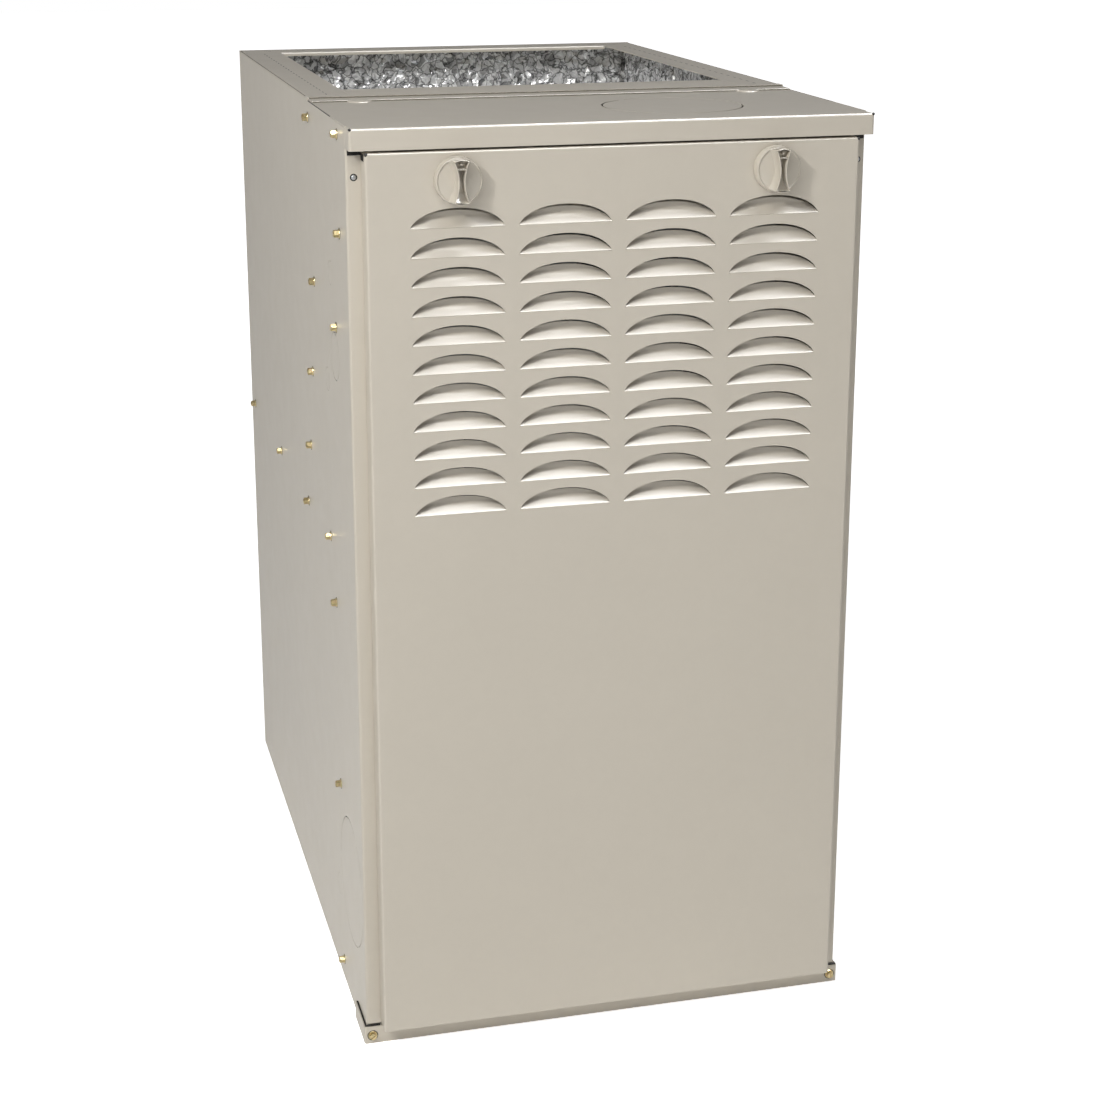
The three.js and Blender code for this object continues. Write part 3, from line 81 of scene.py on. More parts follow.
HEM_FRONT = RIDGE - SEAT - 0.022  # where the cap's rear hem steps up
FRONT_FLANGE = 0.028  # how far a side panel turns in at its front, and at its rear
REAR_FLANGE = 0.020
DARK_PROUD = 0.00012  # how far a dark gap strip stands off the steel that it darkens

SIDE_SCREWS = (  # back from the casing's front, and up
    (0.207, 0.828), (0.041, 0.832), (0.040, 0.748), (0.195, 0.678), (0.071, 0.660),
    (0.220, 0.587), (0.697, 0.440), (0.472, 0.442), (0.246, 0.508), (0.275, 0.443),
    (0.136, 0.449), (0.112, 0.392), (0.116, 0.209), (0.124, 0.020),
)
SIDE_KNOCKOUTS = (  # radius, back from the front, up, and the steel left between two slits
    (0.061, 0.066, 0.131, 0.006), (0.022, 0.081, 0.632, 0.005), (0.011, 0.097, 0.704, 0.004),
    (0.011, 0.128, 0.601, 0.004), (0.011, 0.139, 0.094, 0.004),
)
VENT_KNOCKOUT = {"radius": 0.0635, "centre": (0.079, FRONT + 0.0825), "width": 0.0016}
BACK_SCREWS = (0.022, 0.221, 0.423, 0.625, 0.822)
BACK_SCREW_SIDE = 0.2145
RAIL_SCREW = (RAIL_HALF - 0.0075, 0.008)
FLANGE_RIVET = (0.2232, 0.801)
EMBOSS = {"radius": 0.0115, "rise": 0.0023, "inward": 0.044}
PERFORATION_STEP = 0.019

LOUVRE = {
    "columns": 4, "rows": 11, "pitch": 0.0933, "drop": 0.0249, "width": 0.0807, "height": 0.017,
    "fullness": 2.15, "shoulder": 0.62,
}
LOUVRE_TOP = DOOR_TOP - 0.0645
KNOB = {
    "place": 0.13995, "height": 0.799, "radius": 0.0202, "rim": 0.0094, "floor": 0.0088, "top": 0.020,
    "waist": 0.0030, "end": 0.0067, "wall": 0.0011, "rib": 0.0108, "round": 0.0190,
}
SPINDLE_HOLE = 0.0045
CELL = {
    "places": (-0.118, 0.0, 0.118), "foot": 0.505, "length": 0.400, "rise": 0.075, "rim": 0.012,
    "tube": 0.025, "half_width": 0.022, "half_height": 0.0215,
}
FOIL_CRUSH = 0.0088
FOIL_ROOM = 0.0075  # how deep the crushed face of a liner may reach


def linked(name, data):
    made = bpy.data.objects.new(name, data)
    bpy.context.collection.objects.link(made)
    return made


def mesh_of(bm, name):
    mesh = bpy.data.meshes.new(name)
    bm.to_mesh(mesh)
    bm.free()
    return mesh


# ---------------------------------------------------------------- camera


def place_camera():
    lens_pixels, image = 2147.8, 1100.0
    yaw, pitch = 0.2557, 0.2674
    data = bpy.data.cameras.new("camera")
    camera = linked("camera", data)
    forward = Vector((math.sin(yaw) * math.cos(pitch), math.cos(yaw) * math.cos(pitch), -math.sin(pitch)))
    right = Vector((math.cos(yaw), -math.sin(yaw), 0))
    up = right.cross(forward)
    turn = Matrix((right, up, -forward)).transposed().to_4x4()
    camera.matrix_world = Matrix.Translation((-0.5143, -2.1202, 1.0529)) @ turn
    data.sensor_width = 36
    data.lens = 36 * lens_pixels / image
    data.shift_y = -100 / image
    data.clip_end = 60
    bpy.context.scene.camera = camera


# ---------------------------------------------------------------- material helpers


class Finish:
    """A material whose nodes are added one by one, with Object coordinates at hand."""

    def __init__(self, name, colour, roughness, metallic=0.0, specular=0.5):
        self.material = bpy.data.materials.new(name)
        self.material.use_nodes = True
        self.tree = self.material.node_tree
        self.shader = self.tree.nodes["Principled BSDF"]
        self.set("Base Color", (*colour, 1))
        self.set("Roughness", roughness)
        self.set("Metallic", metallic)
        self.set("Specular IOR Level", specular)
        self.place = self.node("ShaderNodeTexCoord").outputs["Object"]

    def set(self, socket, value):
        self.shader.inputs[socket].default_value = value

    def node(self, kind, **settings):
        made = self.tree.nodes.new(kind)
        links = settings.pop("inputs", {})
        for key, value in settings.items():
            setattr(made, key, value)
        for key, value in links.items():
            self.feed(made.inputs[key], value)
        return made

    def feed(self, socket, value):
        if isinstance(value, bpy.types.NodeSocket):
            self.tree.links.new(value, socket)
        else:
            socket.default_value = value

    def stretched(self, scale):
        return self.node("ShaderNodeMapping", inputs={"Vector": self.place, "Scale": scale}).outputs[0]

    def noise(self, scale, detail=3.0, roughness=0.55, place=None, distortion=0.0):
        inputs = {"Vector": place or self.place, "Scale": scale, "Detail": detail, "Roughness": roughness}
        inputs["Distortion"] = distortion
        return self.node("ShaderNodeTexNoise", inputs=inputs).outputs["Fac"]

    def cells(self, scale, feature="F1", output="Distance", place=None, randomness=1.0):
        inputs = {"Vector": place or self.place, "Scale": scale, "Randomness": randomness}
        return self.node("ShaderNodeTexVoronoi", feature=feature, inputs=inputs).outputs[output]

    def ramp(self, source, stops):
        made = self.node("ShaderNodeValToRGB", inputs={"Fac": source})
        elements = made.color_ramp.elements
        while len(elements) < len(stops):
            elements.new(0.5)
        for element, (at, colour) in zip(elements, stops):
            element.position = at
            element.color = (*colour, 1) if isinstance(colour, tuple) else (colour, colour, colour, 1)
        return made.outputs["Color"]

    def spread(self, source, low, high, from_low=0.0, from_high=1.0):
        inputs = {"Value": source, "From Min": from_low, "From Max": from_high, "To Min": low, "To Max": high}
        return self.node("ShaderNodeMapRange", inputs=inputs).outputs["Result"]

    def blend(self, share, first, second, mode="MIX"):
        made = self.node("ShaderNodeMix", data_type="RGBA", blend_type=mode)
        self.feed(made.inputs[0], share)
        self.feed(made.inputs[6], first)
        self.feed(made.inputs[7], second)
        return made.outputs[2]

    def bump(self, height, strength, distance, under=None):
        inputs = {"Height": height, "Strength": strength, "Distance": distance}
        if under is not None:
            inputs["Normal"] = under
        return self.node("ShaderNodeBump", inputs=inputs).outputs["Normal"]

    def wire(self, socket, source):
        self.tree.links.new(source, self.shader.inputs[socket])


def shade(colour, factor):
    return tuple(min(1.0, channel * factor) for channel in colour)


def enamel(name, colour, roughness=0.38):
    """Baked enamel on sheet steel: orange peel, faint tone drift and a little dust."""
    f = Finish(name, colour, roughness, specular=0.5)
    drift = f.noise(2.6, detail=2.0)
    tone = f.ramp(drift, [(0.3, shade(colour, 0.965)), (0.7, shade(colour, 1.03))])
    dust = f.ramp(f.noise(95, detail=5.0), [(0.35, shade(colour, 0.985)), (0.65, shade(colour, 1.01))])
    f.wire("Base Color", f.blend(0.5, tone, dust))
    f.wire("Roughness", f.spread(f.noise(34, detail=4.0), roughness - 0.05, roughness + 0.07))
    waves = f.bump(f.noise(5.5, detail=1.0), 0.25, 0.0012)
    f.wire("Normal", f.bump(f.noise(900, detail=2.0), 0.06, 0.0001, under=waves))
    f.set("Coat Weight", 0.12)
    f.set("Coat Roughness", 0.25)
    return f.material


def moulded(name, colour, roughness=0.3, grain=600):
    """Moulded plastic with a fine grain."""
    f = Finish(name, colour, roughness)
    tone = f.ramp(f.noise(30, detail=2.0), [(0.3, shade(colour, 0.95)), (0.7, shade(colour, 1.04))])
    f.wire("Base Color", tone)
    f.wire("Roughness", f.spread(f.noise(60), roughness - 0.04, roughness + 0.08))
    f.wire("Normal", f.bump(f.noise(grain, detail=2.0), 0.12, 0.0001))
    return f.material


def galvanised_steel(name, colour=(0.60, 0.62, 0.63)):
    """Hot-dipped sheet with large soft spangles."""
    f = Finish(name, colour, 0.42, metallic=0.9)
    bent = f.stretched((1.0, 1.0, 0.7))
    spangle = f.cells(85, output="Color", place=bent)
    grey = f.node("ShaderNodeSeparateColor", inputs={"Color": spangle}).outputs[0]
    f.wire("Base Color", f.ramp(grey, [(0.0, shade(colour, 0.82)), (1.0, shade(colour, 1.14))]))
    f.wire("Roughness", f.spread(grey, 0.34, 0.52))
    f.wire("Normal", f.bump(f.noise(300, detail=2.0), 0.08, 0.0002))
    return f.material


def aluminised_steel(name, colour=(0.52, 0.52, 0.50)):
    """Dull coated steel with rolling streaks and a heat-blued stain."""
    f = Finish(name, colour, 0.48, metallic=0.85)
    streaks = f.noise(60, detail=4.0, place=f.stretched((8.0, 0.5, 8.0)))
    grey = f.ramp(streaks, [(0.3, shade(colour, 0.86)), (0.7, shade(colour, 1.1))])
    stain = f.spread(f.noise(9, detail=2.0), 0.0, 0.35, 0.45, 0.75)
    f.wire("Base Color", f.blend(stain, grey, (0.38, 0.33, 0.27, 1)))
    f.wire("Roughness", f.spread(streaks, 0.4, 0.58))
    f.wire("Normal", f.bump(f.noise(500, detail=2.0), 0.12, 0.0002))
    return f.material


def crinkled_foil(name):
    """Reinforced foil facing, crushed into facets, with painted shade in the folds between them and painted
    reflections on its facets.
    """
    f = Finish(name, (0.98, 0.98, 0.98), 0.2, metallic=0.52)
    warp = {"Vector": f.place, "Scale": 60.0, "Detail": 3.0}
    drift = f.node("ShaderNodeTexNoise", inputs=warp).outputs["Color"]
    shift = f.node("ShaderNodeVectorMath", operation="SCALE", inputs={"Scale": 0.022})
    f.feed(shift.inputs[0], drift)
    bent = f.node("ShaderNodeVectorMath", operation="ADD")
    f.feed(bent.inputs[0], f.place)
    f.feed(bent.inputs[1], shift.outputs[0])
    folds = f.cells(105, feature="DISTANCE_TO_EDGE", place=bent.outputs[0])
    facets = f.cells(150, output="Color", place=bent.outputs[0])
    tone = f.node("ShaderNodeSeparateColor", inputs={"Color": facets}).outputs[0]
    # Painted shade darkens the folds, and painted reflections make some facets lighter than others.
    fold_painted_shade = f.ramp(folds, [(0.0, 0.16), (0.10, 1.0)])
    facet_painted_reflection = f.ramp(tone, [(0.04, 0.30), (0.34, 0.80), (0.66, 1.0)])
    f.wire("Base Color", f.blend(1.0, fold_painted_shade, facet_painted_reflection, mode="MULTIPLY"))
    coarse = f.bump(f.noise(38, distortion=1.2), 0.7, 0.004)
    f.wire("Normal", f.bump(f.cells(150, place=bent.outputs[0]), 0.6, 0.0022, under=coarse))
    f.wire("Roughness", f.spread(f.noise(160), 0.12, 0.32))
    return f.material


def yellow_zinc(name):
    """Yellow chromate over zinc, with its drift to green and pink."""
    f = Finish(name, (0.80, 0.64, 0.33), 0.3, metallic=1.0)
    tones = [(0.3, (0.42, 0.39, 0.21)), (0.5, (0.68, 0.56, 0.31)), (0.72, (0.56, 0.42, 0.27))]
    f.wire("Base Color", f.ramp(f.noise(420, detail=2.0), tones))
    f.wire("Roughness", f.spread(f.noise(900), 0.22, 0.42))
    f.wire("Normal", f.bump(f.noise(2500, detail=2.0), 0.15, 0.00005))
    return f.material


def cast_metal(name, colour):
    """Bead-blasted die casting."""
    f = Finish(name, colour, 0.55, metallic=0.6)
    f.wire("Base Color", f.ramp(f.noise(45), [(0.3, shade(colour, 0.9)), (0.7, shade(colour, 1.08))]))
    f.wire("Roughness", f.spread(f.noise(200), 0.48, 0.64))
    f.wire("Normal", f.bump(f.noise(900, detail=3.0), 0.35, 0.0002))
    return f.material


def bright_metal(name, colour, roughness=0.28, grain=(1.0, 1.0, 30.0)):
    """Turned or drawn metal with a fine lay."""
    f = Finish(name, colour, roughness, metallic=1.0)
    lay = f.noise(120, detail=4.0, place=f.stretched(grain))
    f.wire("Base Color", f.ramp(lay, [(0.3, shade(colour, 0.92)), (0.7, shade(colour, 1.06))]))
    f.wire("Roughness", f.spread(lay, roughness - 0.06, roughness + 0.12))
    return f.material


def black_enamel(name, colour=(0.018, 0.018, 0.02)):
    """Black paint on pressed steel, a little uneven."""
    f = Finish(name, colour, 0.32)
    f.wire("Base Color", f.ramp(f.noise(40), [(0.3, shade(colour, 0.8)), (0.75, shade(colour, 1.5))]))
    f.wire("Roughness", f.spread(f.noise(120), 0.28, 0.46))
    f.wire("Normal", f.bump(f.noise(500, detail=2.0), 0.12, 0.0002))
    return f.material


def circuit_board(name):
    """Green solder mask with lighter copper tracks under it."""
    f = Finish(name, (0.02, 0.13, 0.05), 0.32)
    tracks = f.cells(260, feature="DISTANCE_TO_EDGE", randomness=0.25)
    f.wire("Base Color", f.ramp(tracks, [(0.06, (0.05, 0.24, 0.09)), (0.11, (0.015, 0.12, 0.045))]))
    f.wire("Normal", f.bump(tracks, 0.2, 0.0002))
    return f.material


def shadow_black(name):
    """The near black of a gap that no light reaches."""
    f = Finish(name, (0.012, 0.011, 0.010), 0.8)
    f.wire("Base Color", f.ramp(f.noise(90), [(0.3, (0.008, 0.007, 0.006)), (0.7, (0.02, 0.018, 0.016))]))
    return f.material


BEIGE = (0.545, 0.498, 0.418)
FINISHES = {
    "beige_paint": enamel("beige enamel", BEIGE),
    "knob_plastic": moulded("knob plastic", (0.535, 0.490, 0.412), 0.14),
    "zinc_yellow": yellow_zinc("yellow zinc"),
    "galvanised": galvanised_steel("galvanised steel"),
    "aluminised": aluminised_steel("aluminised steel"),
    "foil_face": crinkled_foil("crinkled foil"),
    "cast_grey": cast_metal("die casting", (0.34, 0.35, 0.36)),
    "black_paint": black_enamel("black enamel"),
    "black_pipe": cast_metal("black iron", (0.055, 0.055, 0.055)),
    "red_plastic": moulded("red plastic", (0.42, 0.03, 0.02), 0.35),
    "black_plastic": moulded("black phenolic", (0.02, 0.02, 0.022), 0.42),
    "white_plastic": moulded("white plastic", (0.72, 0.72, 0.68), 0.4),
    "ceramic": moulded("glazed ceramic", (0.70, 0.67, 0.58), 0.22),
    "hose_rubber": moulded("hose rubber", (0.018, 0.018, 0.018), 0.55, grain=900),
    "board_green": circuit_board("solder mask"),
    "transformer_steel": bright_metal("varnished laminations", (0.16, 0.15, 0.14), 0.45, (1.0, 40.0, 1.0)),
    "bright_steel": bright_metal("ground steel", (0.62, 0.62, 0.63)),
    "aluminium_can": bright_metal("drawn aluminium", (0.70, 0.70, 0.71), 0.3),
}
# Painted shade: a near black for gaps, holes and the rings round heads, and a dark olive for the shade under
# steps and folds.
DARK = shadow_black("shadow in a gap")
SHADE = moulded("enamel in the shade of a fold", (0.115, 0.100, 0.066), 0.6)

# ---------------------------------------------------------------- mesh helpers

AXES = {"x": lambda a, b, t: (t, a, b), "y": lambda a, b, t: (a, t, b), "z": lambda a, b, t: (a, b, t)}


def loft(bm, rings):
    """Quads between closed rings with equal counts."""
    faces = []
    for a, b in zip(rings, rings[1:]):
        count = len(a)
        for i in range(count):
            j = (i + 1) % count
            faces.append(bm.faces.new((a[i], a[j], b[j], b[i])))
    return faces


def prism(bm, outline, axis, low, high, holes=()):
    """An outline with holes, extruded along an axis. Points are (y, z), (x, z) or (x, y)."""
    loops = [list(outline), *[list(hole) for hole in holes]]
    place = AXES[axis]
    ends = [[[bm.verts.new(place(a, b, t)) for a, b in loop] for loop in loops] for t in (low, high)]
    flat = [[vert for loop in end for vert in loop] for end in ends]
    faces = []
    for tri in tessellate_polygon([[Vector((a, b, 0)) for a, b in loop] for loop in loops]):
        for end in flat:
            faces.append(bm.faces.new([end[i] for i in tri]))
    for pair in zip(*ends):
        faces += loft(bm, pair)
    bmesh.ops.recalc_face_normals(bm, faces=faces)
    return faces


def folded(corners, side=1, radius=BEND, thickness=SHEET, steps=6):
    """Closed outline of a sheet that runs along corners and is thickened to its left (1) or right (-1)."""
    points = [Vector(c) for c in corners]
    runs = [(b - a).normalized() for a, b in zip(points, points[1:])]
    left = [Vector((-run.y, run.x)) * side for run in runs]
    face, inside = [points[0]], [points[0] + left[0] * thickness]
    for i in range(1, len(points) - 1):
        before, after = runs[i - 1], runs[i]
        angle = before.angle(after)
        towards = 1 if (before.x * after.y - before.y * after.x) * side > 0 else -1
        near = radius if towards > 0 else radius - thickness
        far = radius - thickness if towards > 0 else radius
        start = points[i] - before * near * math.tan(angle / 2)
        centre = start + left[i - 1] * towards * near
        spin = angle * towards * side
        for k in range(steps + 1):
            arm = Matrix.Rotation(spin * k / steps, 2) @ (left[i - 1] * -towards)
            face.append(centre + arm * near)
            inside.append(centre + arm * far)
    face.append(points[-1])
    inside.append(points[-1] + left[-1] * thickness)
    return [tuple(p) for p in face] + [tuple(p) for p in reversed(inside)]


def circle(radius, steps, centre=(0, 0)):
    angles = [2 * math.pi * i / steps for i in range(steps)]
    return [(centre[0] + radius * math.cos(a), centre[1] + radius * math.sin(a)) for a in angles]


def slits(radius, centre, tabs=3, width=0.0008, tab=0.006, steps=24):
    """The curved slits round a knockout."""
    made = []
    for i in range(tabs):
        start = 2 * math.pi * i / tabs + tab / radius / 2
        end = 2 * math.pi * (i + 1) / tabs - tab / radius / 2
        ring = []
        for r, order in ((radius, range(steps + 1)), (radius - width, range(steps, -1, -1))):
            for k in order:
                a = start + (end - start) * k / steps
                ring.append((centre[0] + r * math.cos(a), centre[1] + r * math.sin(a)))
        made.append(ring)
    return made


def turned(bm, profile, centre, axis="y", steps=64):
    """A profile of (radius, along) points turned about an axis. It closes on itself or on the axis."""
    rings = []
    for radius, along in profile:
        if radius < 1e-7:
            rings.append([bm.verts.new(spot(axis, 0, 0, along, centre))])
            continue
        ring = circle(radius, steps)
        rings.append([bm.verts.new(spot(axis, a, b, along, centre)) for a, b in ring])
    faces = []
    for a, b in zip(rings, rings[1:]):
        for i in range(steps):
            j = (i + 1) % steps
            quad = [a[i % len(a)], a[j % len(a)], b[j % len(b)], b[i % len(b)]]
            quad = [v for k, v in enumerate(quad) if v not in quad[:k]]
            if len(quad) > 2:
                faces.append(bm.faces.new(quad))
    bmesh.ops.recalc_face_normals(bm, faces=faces)
    return faces


def spot(axis, a, b, along, centre):
    return tuple(c + d for c, d in zip(centre, AXES[axis](a, b, along)))


def sweep(bm, path, section):
    """A section of (across, up) points carried along a path in one plane of constant x, with closed ends."""
    rings = []
    for i, point in enumerate(path):
        ahead = (Vector(path[min(i + 1, len(path) - 1)]) - Vector(path[max(i - 1, 0)])).normalized()
        across = Vector((1, 0, 0))
        up = across.cross(ahead).normalized()
        rings.append([bm.verts.new(Vector(point) + across * a + up * b) for a, b in section])
    faces = loft(bm, rings)
    faces.append(bm.faces.new(rings[0]))
    faces.append(bm.faces.new(list(reversed(rings[-1]))))
    bmesh.ops.recalc_face_normals(bm, faces=faces)
    return faces


def block(bm, low, high):
    """A box between two corners."""
    for vert in bmesh.ops.create_cube(bm, size=1)["verts"]:
        vert.co = Vector((low[i] if vert.co[i] < 0 else high[i]) for i in range(3))


def bead(bm, radius, centre):
    """A small sphere, for the painted shade of the hole at a folded corner."""
    place = Matrix.Translation(centre)
    bmesh.ops.create_uvsphere(bm, u_segments=16, v_segments=10, radius=radius, matrix=place)


def rounded(bm, edges, radius, segments):
    bmesh.ops.bevel(bm, geom=edges, offset=radius, segments=segments, profile=0.5, affect="EDGES")


def open_box(low, high, dropped):
    """A box whose faces are left out where their outward normal is one of those dropped."""
    bm = bmesh.new()
    block(bm, low, high)
    bm.normal_update()
    bmesh.ops.delete(bm, geom=[f for f in bm.faces if dropped(f.normal)], context="FACES")
    return bm


def thickened(bm, thickness):
    """A closed sheet of an open surface, grown inwards."""
    bmesh.ops.recalc_face_normals(bm, faces=bm.faces)
    holder = linked("surface", mesh_of(bm, "surface"))
    sheet = holder.modifiers.new("sheet", "SOLIDIFY")
    sheet.thickness, sheet.offset = thickness, -1
    solid = bpy.data.meshes.new_from_object(holder.evaluated_get(bpy.context.evaluated_depsgraph_get()))
    bpy.data.objects.remove(holder)
    bm = bmesh.new()
    bm.from_mesh(solid)
    return bm


def tray(low, high, dropped, radius, segments, opened):
    """A rounded sheet tray. Box faces that are dropped stay open, and so does the one that is opened."""
    bm = open_box(low, high, dropped)
    rounded(bm, [e for e in bm.edges if not e.is_boundary], radius, segments)
    bmesh.ops.delete(bm, geom=[f for f in bm.faces if opened(f.normal)], context="FACES")
    return thickened(bm, SHEET)


def finished(bm, name, slot, body, nodes=(), material=None, soft_angle=32):
    """Turns a bmesh into a piece that rides on a body and stands for CAD nodes."""
    soften(bm, soft_angle)
    piece = linked(name, mesh_of(bm, name))
    piece.data.materials.append(material or FINISHES[slot])
    return seated(piece, body, nodes)


def seated(piece, body, nodes=()):
    """Names a piece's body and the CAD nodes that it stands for."""
    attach(piece, body)
    if nodes:
        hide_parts(*nodes)
    return piece


def soften(bm, angle):
    """Smooth shading, with edges kept crisp where faces meet at this many degrees or more."""
    limit = math.radians(angle)
    for face in bm.faces:
        face.smooth = True
    for edge in bm.edges:
        edge.smooth = len(edge.link_faces) == 2 and edge.calc_face_angle(4.0) < limit


def smoothed(node, slot, body, angle=40):
    """A CAD node's own shape, with its round sides shaded smoothly and its edges crisp."""
    bm = bmesh.new()
    bm.from_mesh(frame["nodes"][node].data)
    bmesh.ops.remove_doubles(bm, verts=bm.verts, dist=1e-5)
    bmesh.ops.dissolve_limit(bm, angle_limit=math.radians(0.6), verts=bm.verts, edges=bm.edges)
    return finished(bm, node + "_skin", slot, body, (node,), soft_angle=angle)


# ---------------------------------------------------------------- geometry node helpers


class Growth:
    """A Geometry Nodes tree with named sizes, ending in Realize Instances and Set Material."""

    def __init__(self, name, sizes):
        self.group = bpy.data.node_groups.new(name, "GeometryNodeTree")
        face = self.group.interface
        face.new_socket("Geometry", in_out="INPUT", socket_type="NodeSocketGeometry")
        face.new_socket("Geometry", in_out="OUTPUT", socket_type="NodeSocketGeometry")
        self.sizes = sizes
        for key in sizes:
            face.new_socket(key, in_out="INPUT", socket_type="NodeSocketFloat")
        face.new_socket("Material", in_out="INPUT", socket_type="NodeSocketMaterial")
        self.start = self.group.nodes.new("NodeGroupInput")
        self.stop = self.group.nodes.new("NodeGroupOutput")

    def size(self, name):
        return self.start.outputs[name]

    def node(self, kind, *values, **settings):
        """A node with its inputs filled in order, or by name through inputs={...}."""
        made = self.group.nodes.new(kind)
        named = settings.pop("inputs", {})
        for key, value in settings.items():
            setattr(made, key, value)
        for socket, value in list(zip(made.inputs, values)) + [(made.inputs[k], v) for k, v in named.items()]:
            self.feed(socket, value)
        return made

    def feed(self, socket, value):
        if value is None:
            return
        if isinstance(value, (list, tuple)) and any(isinstance(v, bpy.types.NodeSocket) for v in value):
            value = self.vector(*value)
        if isinstance(value, bpy.types.NodeSocket):
            self.group.links.new(value, socket)
        else:
            socket.default_value = value

    def math(self, operation, *values):
        return self.node("ShaderNodeMath", *values, operation=operation).outputs[0]

    def times(self, first, second):
        return self.math("MULTIPLY", first, second)

    def vector(self, x, y, z):
        return self.node("ShaderNodeCombineXYZ", x, y, z).outputs[0]

    def joined(self, *parts):
        made = self.group.nodes.new("GeometryNodeJoinGeometry")
        for part in reversed(parts):
            self.group.links.new(part, made.inputs[0])
        return made.outputs[0]

    def shape(self, kind, inputs):
        return self.node(kind, inputs=inputs).outputs[0]

    def lifted(self, mesh, rise):
        return self.node("GeometryNodeTransform", mesh, inputs={"Translation": (0.0, 0.0, rise)}).outputs[0]

    def cut(self, solid, tool, crossing=False):
        """A solid less a tool. Crossing says that the solid's own parts run into each other."""
        made = self.node("GeometryNodeMeshBoolean", operation="DIFFERENCE", solver="EXACT")
        made.inputs["Self Intersection"].default_value = crossing
        self.feed(made.inputs[0], solid)
        self.feed(made.inputs[1], tool)
        return made.outputs[0]

    def finish(self, geometry):
        real = self.node("GeometryNodeRealizeInstances", geometry).outputs[0]
        set_material = self.node("GeometryNodeSetMaterial", real, inputs={"Material": self.size("Material")})
        self.group.links.new(set_material.outputs[0], self.stop.inputs[0])

    def grow(self, name, points, slot, body, nodes=(), material=None, angle=35, **changes):
        """Runs the tree on points, each (place, facing, turn), and keeps the result as a plain mesh."""
        mesh = bpy.data.meshes.new(name)
        mesh.from_pydata([p[0] for p in points], [], [])
        facing = mesh.attributes.new("facing", "FLOAT_VECTOR", "POINT")
        facing.data.foreach_set("vector", [part for p in points for part in p[1]])
        turn = mesh.attributes.new("turn", "FLOAT", "POINT")
        turn.data.foreach_set("value", [p[2] for p in points])
        piece = linked(name, mesh)
        modifier = piece.modifiers.new("grow", "NODES")
        modifier.node_group = self.group
        values = {**self.sizes, **changes, "Material": material or FINISHES[slot]}
        for item in self.group.interface.items_tree:
            if item.in_out == "INPUT" and item.name in values:
                modifier[item.identifier] = values[item.name]
        grown = bpy.data.meshes.new_from_object(piece.evaluated_get(bpy.context.evaluated_depsgraph_get()))
        piece.modifiers.remove(modifier)
        piece.data = grown
        bm = bmesh.new()
        bm.from_mesh(grown)
        for face in bm.faces:
            face.material_index = 0
        soften(bm, angle)
        bm.to_mesh(grown)
        bm.free()
        grown.materials.clear()
        grown.materials.append(values["Material"])
        return seated(piece, body, nodes) if body else piece


def set_on_points(tree, shape):
    """Instances of a shape on the points, its +Z along their facing and turned about it."""
    facing = tree.node("GeometryNodeInputNamedAttribute", "facing", data_type="FLOAT_VECTOR").outputs[0]
    turn = tree.node("GeometryNodeInputNamedAttribute", "turn", data_type="FLOAT").outputs[0]
    aligned = tree.node("FunctionNodeAlignRotationToVector", axis="Z", inputs={"Vector": facing}).outputs[0]
    about = tree.node("FunctionNodeAxisAngleToRotation", (0, 0, 1), turn).outputs[0]
    way = tree.node("FunctionNodeRotateRotation", aligned, about, rotation_space="LOCAL").outputs[0]
    points = tree.start.outputs["Geometry"]
    return tree.node(
        "GeometryNodeInstanceOnPoints", inputs={"Points": points, "Instance": shape, "Rotation": way}
    ).outputs[0]


def slotted_screws():
    """Hex washer head screws with a slot across the head."""
    tree = Growth("slotted screws", {
        "Washer": 0.0044, "Head": 0.0033, "Rise": 0.0034, "Slot": 0.0009, "Thick": 0.0009,
    })
    washer, head, rise = tree.size("Washer"), tree.size("Head"), tree.size("Rise")
    rim = tree.shape("GeometryNodeMeshCone", {
        "Vertices": 28, "Radius Top": tree.times(washer, 0.9), "Radius Bottom": washer,
        "Depth": tree.size("Thick"),
    })
    hexagon = tree.shape("GeometryNodeMeshCylinder", {"Vertices": 6, "Radius": head, "Depth": rise})
    crown = tree.shape("GeometryNodeMeshCone", {
        "Vertices": 24, "Radius Top": tree.times(head, 0.62), "Radius Bottom": tree.times(head, 0.87),
        "Depth": tree.times(rise, 0.12),
    })
    groove = tree.shape("GeometryNodeMeshCube", {
        "Size": (tree.times(head, 3.0), tree.size("Slot"), tree.times(rise, 0.7)),
    })
    raised = tree.joined(tree.lifted(hexagon, tree.times(rise, 0.5)), tree.lifted(crown, rise))
    slotted = tree.cut(raised, tree.lifted(groove, tree.times(rise, 1.15)), crossing=True)
    tree.finish(set_on_points(tree, tree.joined(rim, slotted)))
    return tree


def domed_rivets():
    """Blind rivets: a low dome with the hollow of its pulled stem."""
    tree = Growth("domed rivets", {"Radius": 0.0032, "Rise": 0.0011})
    radius, rise = tree.size("Radius"), tree.size("Rise")
    ball = tree.shape("GeometryNodeMeshUVSphere", {"Segments": 24, "Rings": 12, "Radius": radius})
    flat = {"Scale": (1.0, 1.0, tree.math("DIVIDE", rise, radius))}
    dome = tree.node("GeometryNodeTransform", ball, inputs=flat).outputs[0]
    well = tree.shape("GeometryNodeMeshCylinder", {
        "Vertices": 16, "Radius": tree.times(radius, 0.34), "Depth": rise,
    })
    tree.finish(set_on_points(tree, tree.cut(dome, tree.lifted(well, rise))))
    return tree


def contact_shadow_discs():
    """Thin dark discs: painted contact shadow in the rings round screw and rivet heads."""
    tree = Growth("dark seats", {"Radius": 0.0050, "Rise": 0.00016})
    disc = tree.shape("GeometryNodeMeshCylinder", {
        "Vertices": 28, "Radius": tree.size("Radius"), "Depth": tree.size("Rise"),
    })
    tree.finish(set_on_points(tree, disc))
    return tree


